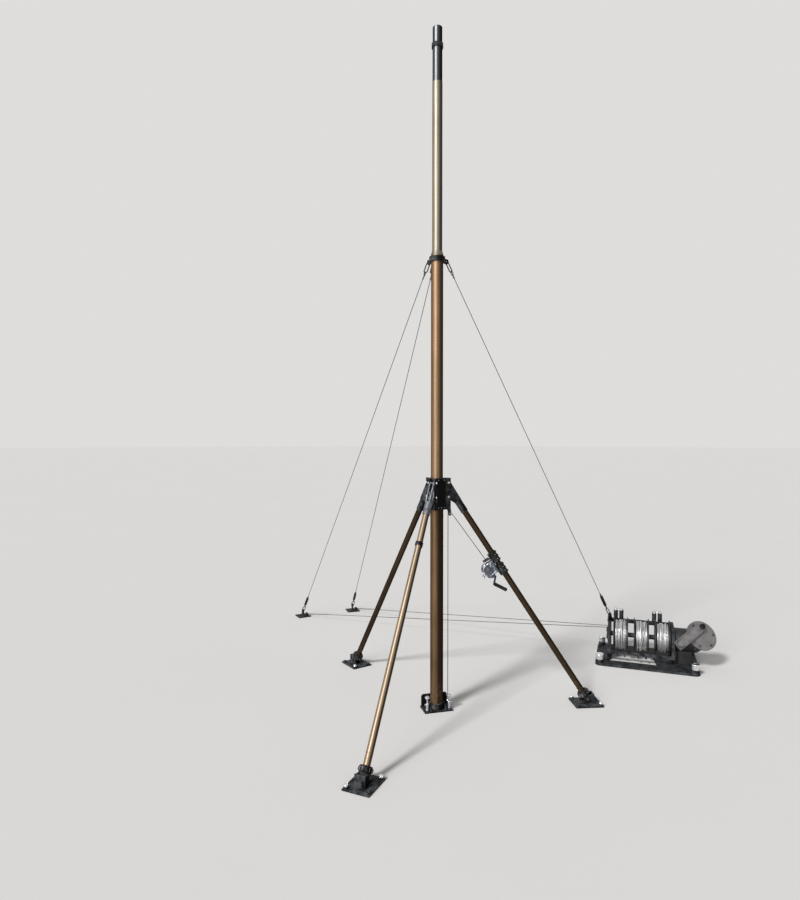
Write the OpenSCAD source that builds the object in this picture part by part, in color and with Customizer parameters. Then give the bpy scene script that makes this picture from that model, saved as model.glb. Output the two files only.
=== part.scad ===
// Portable guyed mast on a tripod, with a leg winch and a stay winch.
// Origin: on the ground, on the mast's axis. +Z is up, +X points along the right leg.

/* [Mast tubes] */
// Outer diameter of the lower tube
lower_tube_d = 78; // [74:1:88]
// Outer diameter of the middle tube
middle_tube_d = 72; // [66:1:74]
// Outer diameter of the upper tube
upper_tube_d = 60; // [50:1:62]
// Wall of the mast tubes
tube_wall = 3; // [2:0.5:5]
// Height of the joint between the lower and middle tubes, inside the hub
lower_joint_z = 1320; // [1290:5:1370]
// Height of the joint between the middle and upper tubes
upper_joint_z = 2712; // [2500:4:2900]
// Height of the mast
mast_h = 4045; // [3600:5:4600]
// How deep each tube sits in the one below it
tube_insert = 160; // [80:10:240]
// Running gap round a tube in its socket
tube_gap = 0.3; // [0.2:0.1:0.5]

/* [Top] */
// Length of the bare spigot above the painted tube
spigot_l = 320; // [220:5:500]
// Distance of the rubber ring's lower edge from the mast's top
ring_drop = 120; // [80:5:160]
// Height of the rubber ring
ring_h = 24; // [15:1:40]
// Thickness of the rubber ring
ring_t = 5; // [3:1:8]

/* [Hub] */
// Height of the hub's lower edge
hub_z = 1206; // [1150:2:1240]
// Height of the hub
hub_h = 188; // [180:2:230]
// Thickness of a lug plate
lug_t = 5; // [4:1:9]
// Distance of the leg pivots from the axis
pivot_r = 68; // [66:1:90]
// Height of the leg pivots
pivot_z = 1366; // [1340:1:1370]
// How far the lock bolts sit below the pivots
lock_drop = 85; // [70:1:100]
// Diameter of the pivot and lock bolts
pivot_bolt_d = 12; // [8:1:14]

/* [Legs] */
// Distance of the foot pivots from the axis
foot_r = 928; // [800:4:1100]
// Height of the foot pivots
foot_pivot_z = 38; // [36:1:60]
// Outer diameter of the leg tubes
leg_tube_d = 36; // [34:1:46]
// Wall of the leg tubes
leg_tube_wall = 2.5; // [2:0.5:4]
// Distance of the leg tube's axis from the pivot bolt
leg_offset = 12; // [6:1:18]
// Length of the leg heads, pivot to socket
head_len = 125; // [115:5:150]
// Width of the leg heads, across the leg
head_w = 28; // [26:1:38]
// Thickness of a leg head's plates
head_t = 6; // [5:1:8]
// Length of the sockets that hold the leg tubes
leg_socket_len = 76; // [50:2:100]
// Wall of the leg sockets
leg_socket_wall = 3.5; // [3:0.5:6]
// Length of the collars at the leg's lower end
foot_collar_len = 30; // [24:2:60]
// Diameter of the collars at the leg's lower end
foot_collar_d = 70; // [62:1:74]

/* [Feet] */
// Length of a foot plate, along the leg
foot_plate_l = 172; // [160:4:240]
// Width of a foot plate
foot_plate_w = 144; // [130:2:180]
// Thickness of the foot plates
foot_plate_t = 8; // [6:1:12]
// Thickness of a foot ear
foot_ear_t = 8; // [6:1:12]
// How far the foot ears reach inward from the pivot
foot_ear_l = 50; // [44:1:60]
// How far a foot bracket's closed outer side rises above the pivot
foot_web_rise = 28; // [16:1:34]
// Thickness of the tongue between the ears
tongue_t = 40; // [24:1:44]
// Diameter of the foot pivot bolts
foot_bolt_d = 12; // [8:1:16]
// Diameter of the holes for ground pegs
peg_hole_d = 14; // [10:1:18]
// Outer diameter of the rings round the peg holes
peg_ring_d = 26; // [22:1:32]
// Height of the rings round the peg holes
peg_ring_h = 8; // [4:1:14]

/* [Base] */
// Width of the base carriage
base_l = 176; // [172:2:240]
// How far the base plate reaches in front of the axis
base_front = 52; // [48:1:80]
// Thickness of the base plate
base_t = 8; // [6:1:14]
// Turn of the base carriage about the mast
base_turn = 10; // [0:1:30]
// Height of the back wall
base_wall_h = 78; // [60:2:110]
// Thickness of the back wall and the ribs
base_wall_t = 6; // [4:1:8]
// Height of the ribs at the front
rib_low_h = 16; // [12:1:36]
// Height of the cup round the tube's foot
cup_h = 38; // [30:2:70]
// Wall of the cup
cup_wall = 4; // [3:1:6]
// Distance of the two lock spindles from the axis, across the carriage
spindle_x = 68; // [66:1:76]
// How far the lock spindles stand in front of the axis
spindle_y = 30; // [28:1:38]
// Height of the lock spindles
spindle_h = 86; // [70:2:110]
// Diameter of a lock spindle's foot
spindle_d = 16; // [12:1:18]

/* [Leg winch] */
// Distance of the winch from the leg's pivot, along the leg
winch_s = 574; // [450:2:700]
// Distance of the drum's axis from the leg's axis
winch_drop = 74; // [72:1:90]
// Distance between the two leg clamps
clamp_pitch = 86; // [80:1:110]
// Length of a leg clamp
clamp_l = 58; // [40:1:70]
// Length of the winch drum over its flanges
drum_l = 40; // [30:1:60]
// Diameter over the cable wound on the drum
drum_d = 40; // [28:1:48]
// Diameter of the drum's flanges
drum_flange_d = 62; // [54:1:68]
// Thickness of the winch's cheeks
cheek_t = 3; // [2:0.5:5]
// Angle of the crank shaft below the horizontal
crank_dip = 27; // [15:1:45]
// How far the crank shaft lies below the drum's axis, along the leg
crank_low = 45; // [30:1:60]
// Turn of the crank about its shaft, at rest
crank_turn = -45; // [-90:5:90]
// Length of the crank arm
crank_arm = 56; // [44:1:90]
// Length of the crank's grip
grip_l = 84; // [60:2:110]
// Diameter of the crank's grip
grip_d = 18; // [14:1:26]

/* [Lift cable] */
// Diameter of the steel cables
cable_d = 4; // [3:0.5:5]
// Distance of the vertical cable from the mast's axis
cable_x = 68; // [66:1:74]
// Diameter of the hub sheave in its groove
sheave_d = 16; // [12:1:24]

/* [Stays] */
// Height of the stay collar's lower edge
collar_z = 2676; // [2480:2:2680]
// Height of the stay collar
collar_h = 28; // [26:1:30]
// Wall of the collar
collar_wall = 11; // [8:1:14]
// Thickness of the collar's lugs
stay_lug_t = 8; // [6:1:10]
// Height of the bare cone on the middle tube's end
cone_h = 24; // [16:1:40]
// Distance of the stay links from the mast's axis
link_r = 72; // [68:1:100]
// Length of a stay's end links
link_l = 64; // [54:1:80]
// Diameter of the stay ropes
stay_d = 4; // [3:0.5:6]
// Distance of the ground anchors from the mast's axis
anchor_r = 2270; // [1800:10:2600]
// Direction of the left stay
left_az = 114; // [110:1:140]
// Direction of the back stay
back_az = 102; // [80:1:104]
// Direction of the stay winch
right_az = 23; // [20:1:60]
// Distance of the stay winch from the mast's axis
stay_winch_r = 1796; // [1650:2:2600]
// Length of a stay's strainer
strainer_l = 150; // [120:5:220]
// Diameter of a stay's strainer
strainer_d = 22; // [16:1:30]

/* [Ground anchors] */
// Length and width of an anchor's ground plate
anchor_l = 110; // [100:5:160]
// Height of an anchor's upright plate
anchor_h = 66; // [60:1:90]
// Height of the bollard that takes the ground rope
bollard_h = 36; // [30:1:50]

/* [Stay winch] */
// Turn of the stay winch about the vertical
winch_turn = -25; // [-45:1:0]
// Length of the ground frame
frame_l = 690; // [680:5:760]
// Depth of the ground frame
frame_w = 480; // [460:5:560]
// Thickness of the ground frame
frame_t = 16; // [12:1:20]
// Height of the drums' axis
drum_z = 172; // [164:1:190]
// Distance between the drums
drum_pitch = 142; // [138:1:160]
// Length of the rope wound on a drum
winding_l = 90; // [76:1:96]
// Diameter over the rope wound on a stay drum
stay_drum_d = 186; // [150:2:210]
// Diameter of the stay drums' flanges
stay_flange_d = 256; // [226:2:264]
// Diameter of the drums' axle
axle_d = 34; // [26:1:44]
// Diameter of the crank's disc
disc_d = 208; // [180:2:220]
// Length of the stay winch's crank arm
stay_crank_l = 230; // [180:5:250]
// Width of the stay winch's crank arm
stay_crank_w = 66; // [60:2:76]

/* [Hidden] */
$fn = 48;

// Clearance between pieces that seat on each other
seat = 0.3;
// Running clearance round a shaft
run_gap = 0.1;
// How far a cutting shape runs past the piece it cuts
over = 1;
RIGHT = 0;
LEFT = 120;
FRONT = 240;

lower_r = lower_tube_d / 2;
middle_r = middle_tube_d / 2;
upper_r = upper_tube_d / 2;
leg_r = leg_tube_d / 2;

// A round bar from one point to another
module rod(a, b, d) {
    along(a, b) cylinder(d = d, h = norm(b - a), $fn = 24);
}

// Puts its children on a line: a is the origin and +Z points to b, with Y level
module along(a, b) {
    v = b - a;
    translate(a) rotate([0, acos(v.z / norm(v)), atan2(v.y, v.x)]) children();
}

// A cylinder along Y, centred on the XZ plane
module cross_bar(d, l) {
    rotate([90, 0, 0]) cylinder(d = d, h = l, center = true);
}

// A plate of thickness t in the XZ plane, centred on Y
module side_plate(t) {
    rotate([90, 0, 0]) linear_extrude(t, center = true) children();
}

// Outward direction of the line that touches two circles, for corners listed counter-clockwise
function touch(c1, r1, c2, r2) =
    let(d = c2 - c1, a = atan2(d.y, d.x) - acos((r1 - r2) / norm(d))) [cos(a), sin(a)];

// A flat shape with round corners: a centre and a radius for each, counter-clockwise.
// Its straight sides dip a little into the corners' circles, so that they cross them cleanly.
side_dip = 0.002;
module rounded(c, r) {
    n = len(c);
    polygon([for (i = [0 : n - 1]) let(j = (i + 1) % n, u = touch(c[i], r[i], c[j], r[j]))
        each [c[i] + (r[i] - side_dip) * u, c[j] + (r[j] - side_dip) * u]]);
    for (i = [0 : n - 1]) translate(c[i]) circle(r = r[i]);
}

// A mast tube whose top holds the next tube on an inner shoulder
inner_shoulder = 12;
module mast_tube(d, z0, z1, next_d) {
    r = d / 2;
    socket_r = next_d / 2 + tube_gap;
    shoulder_z = z1 - tube_insert;
    shoulder_r = next_d / 2 - tube_wall;
    rotate_extrude($fn = 96) polygon([
        [r, z0], [r, z1], [socket_r, z1], [socket_r, shoulder_z],
        [shoulder_r, shoulder_z], [shoulder_r, shoulder_z - inner_shoulder],
        [r - tube_wall, shoulder_z - inner_shoulder], [r - tube_wall, z0]]);
}

module lower_tube() {
    color("saddlebrown") mast_tube(lower_tube_d, base_t, lower_joint_z, middle_tube_d);
}

module middle_tube() {
    color("peru") mast_tube(middle_tube_d, lower_joint_z - tube_insert, upper_joint_z, upper_tube_d);
}

plug_r = upper_r - tube_wall;
spigot_z = mast_h - spigot_l;
module upper_tube() {
    color("saddlebrown") mast_tube(upper_tube_d, upper_joint_z - tube_insert, spigot_z, 2 * plug_r);
}

// Bare metal end: a plug in the painted tube, a stub, and a thinner clamping length above the ring
spigot_r = upper_r - 1;
neck_r = spigot_r - 0.5;
ring_z = mast_h - ring_drop;
module top_spigot() {
    bore_r = plug_r - tube_wall;
    chamfer = 2;
    color("silver") rotate_extrude($fn = 96) polygon([
        [bore_r, spigot_z - tube_insert], [plug_r, spigot_z - tube_insert], [plug_r, spigot_z],
        [spigot_r, spigot_z], [spigot_r, ring_z + ring_h], [neck_r, ring_z + ring_h],
        [neck_r, mast_h - chamfer], [neck_r - chamfer, mast_h], [bore_r, mast_h]]);
}

module top_ring() {
    color("black") translate([0, 0, ring_z]) difference() {
        cylinder(r = spigot_r + tube_gap + ring_t, h = ring_h, $fn = 96);
        translate([0, 0, -over]) cylinder(r = spigot_r + tube_gap, h = ring_h + 2 * over, $fn = 96);
    }
}

// Base carriage: a plate with an upright wall behind the tube, a rib on each side and the cable's post
cable_x0 = cable_x - seat;
cable_post_d = 12;
cable_post_h = 44;
cup_r = lower_r + seat + cup_wall;
module base_plate() {
    wall_in = cup_r + 2.7;
    wall_out = wall_in + base_wall_t;
    wall_x = base_l / 2 - 6;
    corner = 10;
    rib_x = cup_r + 1 + base_wall_t / 2;
    rib_front = -base_front + 6;
    rib_h = base_wall_h - 12;
    color("dimgray") {
        rotate([0, 0, base_turn]) {
            translate([-base_l / 2, -base_front, 0]) cube([base_l, base_front + wall_out, base_t]);
            translate([0, wall_in + base_wall_t / 2, 0]) side_plate(base_wall_t)
                polygon([[-wall_x, 0], [wall_x, 0], [wall_x, base_wall_h - corner],
                    [wall_x - corner, base_wall_h], [corner - wall_x, base_wall_h],
                    [-wall_x, base_wall_h - corner]]);
            for (s = [-1, 1]) translate([s * rib_x, 0, 0]) rotate([0, 0, 90]) side_plate(base_wall_t)
                polygon([[rib_front, base_t / 2], [wall_in + 1, base_t / 2], [wall_in + 1, rib_h],
                    [rib_front, rib_low_h]]);
        }
        translate([cable_x0, 0, base_t / 2]) cylinder(d = cable_post_d, h = cable_post_h);
    }
}

module base_cup() {
    color("black") translate([0, 0, base_t]) difference() {
        cylinder(r = cup_r, h = cup_h, $fn = 96);
        translate([0, 0, -over]) cylinder(r = lower_r + seat, h = cup_h + 2 * over, $fn = 96);
    }
}

// Lock spindle: a thick foot, a thin stem, a broad head and a cross knob
module base_spindle(side) {
    foot_h = 46;
    stem_d = 8;
    head_r = 12.5;
    head_h = 14;
    knob_d = 9;
    color("silver") rotate([0, 0, base_turn]) translate([side * spindle_x, -spindle_y, base_t]) {
        rotate_extrude() polygon([
            [0, 0], [spindle_d / 2 + 2, 0], [spindle_d / 2 + 2, 8], [spindle_d / 2, 10],
            [spindle_d / 2, foot_h - 4], [spindle_d / 2 - 3, foot_h], [stem_d / 2, foot_h],
            [stem_d / 2, spindle_h - head_h], [head_r - 3, spindle_h - head_h],
            [head_r, spindle_h - head_h + 3], [head_r, spindle_h - 2],
            [head_r - 2, spindle_h], [0, spindle_h]]);
        translate([0, 0, foot_h - 8]) rotate([0, side * 90, 0]) cylinder(d = knob_d, h = spindle_d / 2 + 8);
    }
}

// Hub: a three-cornered body round the tubes, with a pair of lug plates for each leg
head_gap = 0.5;
lug_in = head_w / 2 + head_gap;
lug_out = lug_in + lug_t;
lug_end_r = 13;
hub_reach = pivot_r - lug_end_r - 4;
hub_corner_w = lug_out + 1.5;
module hub() {
    corners = [for (a = [RIGHT, LEFT, FRONT]) for (s = [-1, 1])
        [hub_reach * cos(a) - s * hub_corner_w * sin(a), hub_reach * sin(a) + s * hub_corner_w * cos(a)]];
    lug_root = 4;
    color("black") difference() {
        translate([0, 0, hub_z]) union() {
            linear_extrude(hub_h) polygon(corners);
            for (a = [RIGHT, LEFT, FRONT]) rotate([0, 0, a]) for (s = [-1, 1])
                translate([hub_reach - lug_root, s * (lug_in + lug_t / 2) - lug_t / 2, 0])
                    cube([pivot_r + lug_end_r - hub_reach + lug_root, lug_t, hub_h]);
        }
        translate([0, 0, hub_z - over]) cylinder(r = middle_r + tube_gap, h = hub_h + 2 * over, $fn = 96);
        translate([0, 0, hub_z - over])
            cylinder(r = lower_r + seat, h = lower_joint_z + seat - hub_z + over, $fn = 96);
        for (a = [RIGHT, LEFT, FRONT]) rotate([0, 0, a]) for (z = [pivot_z, pivot_z - lock_drop])
            translate([pivot_r, 0, z]) cross_bar(pivot_bolt_d + 2 * seat, 3 * lug_out);
    }
}

// Legs: each tube runs beside its pivot bolt and through its foot's pivot
pivot_to_foot = norm([foot_r - pivot_r, pivot_z - foot_pivot_z]);
leg_tilt = atan2(foot_r - pivot_r, pivot_z - foot_pivot_z) + asin(leg_offset / pivot_to_foot);
leg_len = sqrt(pivot_to_foot * pivot_to_foot - leg_offset * leg_offset);
leg_socket_r = leg_r + seat + leg_socket_wall;
shoulder_t = 6;
tube_top_s = head_len + shoulder_t + seat;
tongue_len = 26;
tube_end_s = leg_len - tongue_len - seat;

// Puts its children on a leg: the tube runs down -Z from beside the pivot bolt, with +X outside
module on_leg(turn) {
    rotate([0, 0, turn]) translate([pivot_r, 0, pivot_z]) rotate([0, -leg_tilt, 0])
        translate([-leg_offset, 0, 0]) children();
}

// Upper end of a leg: two three-cornered plates, open on the front leg, their bolts and the tube's socket
pivot_at = [leg_offset, 0];
lock_at = [leg_offset - lock_drop * sin(leg_tilt), -lock_drop * cos(leg_tilt)];
bolt_head_d = 15;
bolt_head_t = 4;
foot_head_d = 17;
foot_head_t = 6;
module leg_head(turn) {
    corner_r = 6;
    corner_x = leg_socket_r - corner_r;
    window_z = -head_len + 19;
    color("black") on_leg(turn) difference() {
        union() {
            for (s = [-1, 1]) translate([0, s * (head_w - head_t) / 2, 0]) side_plate(head_t) difference() {
                rounded([pivot_at, lock_at, [-corner_x, -head_len], [corner_x, -head_len]],
                    [lug_end_r, lug_end_r - 1, corner_r, corner_r]);
                if (turn == FRONT)
                    polygon([pivot_at + [-6, -24], lock_at + [18, -4], [-12, window_z], [6, window_z]]);
            }
            translate([-leg_socket_r, -head_w / 2, -head_len - shoulder_t])
                cube([2 * leg_socket_r, head_w, shoulder_t]);
            translate([0, 0, -head_len - leg_socket_len]) cylinder(r = leg_socket_r, h = leg_socket_len);
            for (p = [pivot_at, lock_at]) translate([p.x, 0, p.y]) {
                cross_bar(pivot_bolt_d, 2 * (lug_out + seat + bolt_head_t));
                for (s = [-1, 1]) translate([0, s * (lug_out + seat + bolt_head_t / 2), 0])
                    cross_bar(bolt_head_d, bolt_head_t);
            }
        }
        translate([0, 0, -head_len - leg_socket_len - over])
            cylinder(r = leg_r + seat, h = leg_socket_len - shoulder_t + over);
    }
}

// Leg tube, with two shallow grooves near its lower end
module leg_tube(turn) {
    groove_w = 2;
    groove_deep = 0.8;
    inner_r = leg_r - leg_tube_wall;
    grooves = [for (s = [32, 57]) each [
        [leg_r, s], [leg_r - groove_deep, s], [leg_r - groove_deep, s + groove_w], [leg_r, s + groove_w]]];
    color("saddlebrown") on_leg(turn) translate([0, 0, -tube_end_s]) rotate_extrude()
        polygon(concat([[inner_r, 0], [leg_r, 0]], grooves,
            [[leg_r, tube_end_s - tube_top_s], [inner_r, tube_end_s - tube_top_s]]));
}

// Lower end of a leg: a broad collar for the tube and a tongue for the foot's bolt
tongue_r = 15;
module leg_foot(turn) {
    collar_r = foot_collar_d / 2;
    color("black") on_leg(turn) translate([0, 0, -leg_len]) difference() {
        union() {
            translate([0, 0, tongue_len - shoulder_t]) rotate_extrude() polygon([
                [0, 0], [collar_r - 4, 0], [collar_r, 4], [collar_r, foot_collar_len - 8],
                [collar_r - 6, foot_collar_len], [0, foot_collar_len]]);
            translate([-tongue_r, -tongue_t / 2, 0]) cube([2 * tongue_r, tongue_t, tongue_len - shoulder_t]);
            cross_bar(2 * tongue_r, tongue_t);
        }
        translate([0, 0, tongue_len]) cylinder(r = leg_r + seat, h = foot_collar_len + over);
        cross_bar(foot_bolt_d + 2 * seat, 2 * tongue_t);
    }
}

// Foot: a ground plate with peg rings, and a bracket of two sloping ears and a closed outer side
module foot_plate(turn) {
    ear_y = tongue_t / 2 + head_gap;
    ear_out = ear_y + foot_ear_t;
    ear_top = foot_pivot_z + tongue_r + 3;
    web_x = 34;
    web_out = web_x + foot_ear_t;
    web_top = foot_pivot_z + foot_web_rise;
    peg_in = peg_ring_d / 2 + 3;
    color("dimgray") rotate([0, 0, turn]) translate([foot_r, 0, 0]) difference() {
        union() {
            translate([-foot_plate_l / 2, -foot_plate_w / 2, 0])
                cube([foot_plate_l, foot_plate_w, foot_plate_t]);
            for (s = [-1, 1]) translate([0, s * (ear_y + foot_ear_t / 2), 0]) side_plate(foot_ear_t)
                polygon([[-foot_ear_l, 0], [web_out, 0], [web_out, web_top], [0, ear_top]]);
            translate([web_x, -ear_out, 0]) cube([foot_ear_t, 2 * ear_out, web_top]);
            translate([0, 0, foot_pivot_z]) {
                cross_bar(foot_bolt_d, 2 * ear_out + 2 * foot_head_t);
                for (s = [-1, 1]) translate([0, s * (ear_out + foot_head_t / 2), 0])
                    cross_bar(foot_head_d, foot_head_t);
            }
            for (x = [-1, 1]) for (y = [-1, 1])
                translate([x * (foot_plate_l / 2 - peg_in), y * (foot_plate_w / 2 - peg_in), 0])
                    cylinder(d = peg_ring_d, h = foot_plate_t + peg_ring_h);
        }
        for (x = [-1, 1]) for (y = [-1, 1])
            translate([x * (foot_plate_l / 2 - peg_in), y * (foot_plate_w / 2 - peg_in), -over])
                cylinder(d = peg_hole_d, h = foot_plate_t + peg_ring_h + 2 * over);
        translate([foot_plate_l / 2 - peg_in, 0, -over])
            cylinder(d = peg_hole_d, h = foot_plate_t + 2 * over);
    }
}

// Clip on the front leg
module front_leg_clamp() {
    clip_s = 385;
    clip_h = 22;
    clip_r = leg_r + seat + 4;
    tab = 18;
    color("dimgray") on_leg(FRONT) translate([0, 0, -clip_s]) difference() {
        union() {
            cylinder(r = clip_r, h = clip_h, center = true);
            translate([-clip_r - tab + 2, -5, -tab / 2]) cube([tab, 10, tab]);
        }
        cylinder(r = leg_r + seat, h = clip_h + 2 * over, center = true);
    }
}

// Leg winch: two ribbed clamps and a back plate on the leg
clamp_r = leg_r + seat + 6;
back_plate_t = 6;
back_x = -clamp_r - back_plate_t + 2;
back_w = 2 * clamp_r;
module winch_clamps() {
    rim_w = 6;
    rim_t = 3;
    color("black") on_leg(RIGHT) translate([0, 0, -winch_s]) difference() {
        union() {
            for (s = [-1, 1]) translate([0, 0, s * clamp_pitch / 2]) {
                cylinder(r = clamp_r, h = clamp_l - 2 * rim_w, center = true);
                for (e = [-1, 0, 1]) translate([0, 0, e * (clamp_l - rim_w) / 2])
                    cylinder(r = clamp_r + rim_t, h = rim_w + 2 * abs(e), center = true);
            }
            translate([back_x, -back_w / 2, -clamp_pitch / 2 - clamp_l / 2])
                cube([back_plate_t, back_w, clamp_pitch + clamp_l]);
        }
        cylinder(r = leg_r + seat, h = clamp_pitch + clamp_l + 2 * over, center = true);
    }
}

// Puts its children on the winch drum's axis
module on_drum() {
    on_leg(RIGHT) translate([-winch_drop, 0, -winch_s]) children();
}

// Puts its children on the crank's shaft: +Z points out along it and +X points down
crank_at = [-6, -crank_low];
module on_crank() {
    on_drum() translate([crank_at.x, shaft_y, crank_at.y])
        rotate([0, leg_tilt + 90 + crank_dip, 0]) children();
}

cheek_gap = drum_l + 8;
cheek_out = cheek_gap / 2 + cheek_t;
drum_axle_d = 12;
drum_axle_l = 2 * cheek_out + 12;
shaft_d = 10;
shaft_y = leg_r + 10 + crank_arm + grip_d / 2;
crank_start = 52;
module winch_frame() {
    frame_x = winch_drop + back_x;
    cheek_r = 36;
    cheek_z = 42;
    cover_d = 62;
    cover_low_r = 20;
    cover_t = 12;
    arm_w = 28;
    shaft_in = -22;
    color("silver") difference() {
        union() {
            on_drum() {
                translate([frame_x - cheek_t, -cheek_out, -cheek_z])
                    cube([cheek_t, 2 * cheek_out, 2 * cheek_z]);
                for (s = [-1, 1]) translate([0, s * (cheek_out - cheek_t / 2), 0]) side_plate(cheek_t) {
                    circle(r = cheek_r);
                    polygon([[0, -cheek_r], [frame_x - cheek_t / 2, -cheek_z],
                        [frame_x - cheek_t / 2, cheek_z], [0, cheek_r]]);
                }
                translate([0, cheek_out + cover_t / 2, 0]) side_plate(cover_t)
                    rounded([[0, 0], crank_at], [cover_d / 2, cover_low_r]);
            }
            on_crank() {
                translate([-arm_w / 2, -shaft_y + cheek_out + 1, -arm_w / 2])
                    cube([arm_w, shaft_y - cheek_out - 1, arm_w]);
                translate([0, 0, shaft_in]) cylinder(d = arm_w + 6, h = crank_start - 8 - shaft_in);
            }
        }
        on_drum() cross_bar(drum_axle_d + 2 * run_gap, drum_axle_l + 2);
        on_crank() translate([0, 0, shaft_in + 8]) cylinder(d = shaft_d + 2 * run_gap, h = 2 * crank_start);
    }
}

module winch_drum() {
    drum_rim = 3;
    color("gainsboro") on_drum() {
        cross_bar(drum_axle_d, drum_axle_l);
        cross_bar(drum_d, drum_l);
        for (s = [-1, 1]) translate([0, s * (drum_l - drum_rim) / 2, 0]) cross_bar(drum_flange_d, drum_rim);
    }
}

module winch_crank() {
    arm_t = 6;
    arm_r = 8;
    color("black") on_crank() rotate([0, 0, crank_turn]) {
        translate([0, 0, -10]) cylinder(d = shaft_d, h = crank_start + 12);
        translate([0, 0, crank_start]) linear_extrude(arm_t)
            rounded([[0, 0], [crank_arm, 0]], [arm_r, arm_r]);
        translate([crank_arm, 0, crank_start + arm_t]) cylinder(d = grip_d, h = grip_l);
    }
}

// Hub sheave between two tapered cheeks, and the cables
sheave_t = 10;
sheave_x = cable_x + sheave_d / 2 + cable_d / 2;
sheave_z = hub_z - 26;
sheave_axle_d = 6;
module sheave_bracket() {
    cheek = 3;
    cheek_y = sheave_t / 2 + 1.5;
    top_w = 28;
    top_t = 6;
    color("black") difference() {
        union() {
            for (s = [-1, 1]) translate([sheave_x, s * (cheek_y + cheek / 2), hub_z]) side_plate(cheek)
                polygon([[-top_w / 2, 0], [-8, -38], [8, -38], [top_w / 2 - 8, 0]]);
            translate([sheave_x - top_w / 2, -lug_out, hub_z - top_t]) cube([top_w - 8, 2 * lug_out, top_t]);
        }
        translate([sheave_x, 0, sheave_z]) cross_bar(sheave_axle_d + 2 * run_gap, 4 * sheave_t);
    }
}

module sheave() {
    rim_r = sheave_d / 2 + cable_d;
    color("silver") translate([sheave_x, 0, sheave_z]) {
        rotate([90, 0, 0]) rotate_extrude() polygon([
            [0, -sheave_t / 2], [rim_r, -sheave_t / 2], [sheave_d / 2, -1.5],
            [sheave_d / 2, 1.5], [rim_r, sheave_t / 2], [0, sheave_t / 2]]);
        cross_bar(sheave_axle_d, sheave_t + 10);
    }
}

module lift_cable() {
    low_z = base_t / 2 + cable_post_h + seat;
    color("gray") translate([cable_x0, 0, low_z]) cylinder(d = cable_d, h = sheave_z - low_z);
}

drum_from_pivot = [winch_s * sin(leg_tilt) - (winch_drop + leg_offset) * cos(leg_tilt), 0,
                   -winch_s * cos(leg_tilt) - (winch_drop + leg_offset) * sin(leg_tilt)];
module winch_cable() {
    drum_c = [pivot_r, 0, pivot_z] + drum_from_pivot;
    sheave_c = [sheave_x, 0, sheave_z];
    v = drum_c - sheave_c;
    side = [-v.z, 0, v.x] / norm(v);
    lift = cable_d / 2 + seat;
    color("gray") rod(sheave_c + (sheave_d / 2 + lift) * side, drum_c + (drum_d / 2 + lift) * side, cable_d);
}

// Stay winch, in its own frame: X along the drums, -Y the open front
winch_pos = [stay_winch_r * cos(right_az), stay_winch_r * sin(right_az), 0];
function at_winch(p) = winch_pos + [p.x * cos(winch_turn) - p.y * sin(winch_turn),
    p.x * sin(winch_turn) + p.y * cos(winch_turn), p.z];
module on_winch() {
    translate(winch_pos) rotate([0, 0, winch_turn]) children();
}

drum_mid = -33;
flange_t = 6;
drum_end = drum_pitch + winding_l / 2 + flange_t;
stay_cheek_t = 20;
cheek_l = drum_mid - drum_end - 18;
cheek_r = drum_mid + drum_end + 8;
cheek_h = 264;
eye_at = [cheek_l - stay_cheek_t / 2, 15, cheek_h + 39];
right_hole = at_winch(eye_at);
function plan_az(a, b) = atan2(b.y - a.y, b.x - a.x);

// Stays: a collar with three lugs, and for each stay a link, a rope, a strainer and a link
lug_hole_d = 13;
lug_rim = 8;
lug_low = 10;
link_az = [left_az + 12, back_az - 6, plan_az([0, 0], right_hole)];
hole_z = collar_z + lug_low;
function hole_at(az) = [link_r * cos(az), link_r * sin(az), hole_z];
module stay_collar() {
    ring_r = middle_r + tube_gap + collar_wall;
    color("black") difference() {
        union() {
            translate([0, 0, collar_z]) cylinder(r = ring_r, h = collar_h, $fn = 96);
            for (az = link_az) rotate([0, 0, az]) side_plate(stay_lug_t) polygon([
                [ring_r - 6, collar_z], [link_r - 4, hole_z - lug_hole_d / 2 - lug_rim],
                [link_r + 4, hole_z - lug_hole_d / 2 - lug_rim], [link_r + lug_hole_d / 2 + lug_rim, hole_z],
                [link_r + lug_rim, hole_z + 14], [ring_r - 6, collar_z + collar_h]]);
        }
        translate([0, 0, collar_z - over])
            cylinder(r = middle_r + tube_gap, h = collar_h + 2 * over, $fn = 96);
        for (az = link_az) rotate([0, 0, az]) translate([link_r, 0, hole_z])
            cross_bar(lug_hole_d, 3 * stay_lug_t);
    }
}

// Bare cone on the end of the middle tube
module joint_cone() {
    bore_r = upper_r + tube_gap;
    foot_r1 = middle_r + 1;
    color("silver") translate([0, 0, upper_joint_z + seat]) rotate_extrude($fn = 96) polygon([
        [bore_r, 0], [foot_r1, 0], [foot_r1, 5], [bore_r + 1.5, cone_h], [bore_r, cone_h]]);
}

// A stay from one hole to another, with an oblong link in each and a strainer at its lower end
link_wire_r = 3.5;
// How far a taut link's wire sits off the middle of its hole
link_hang = 1.9;
link_half_w = 11;
module link_arc(up) {
    rotate([up * 90, 0, 90]) rotate_extrude(angle = 180, $fn = 48)
        translate([link_half_w, 0]) circle(r = link_wire_r, $fn = 24);
}

module stay_link() {
    for (s = [-1, 1]) translate([0, s * link_half_w, link_half_w])
        cylinder(r = link_wire_r, h = link_l - 2 * link_half_w, $fn = 24);
    translate([0, 0, link_half_w]) link_arc(-1);
    translate([0, 0, link_l - link_half_w]) link_arc(1);
}

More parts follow.
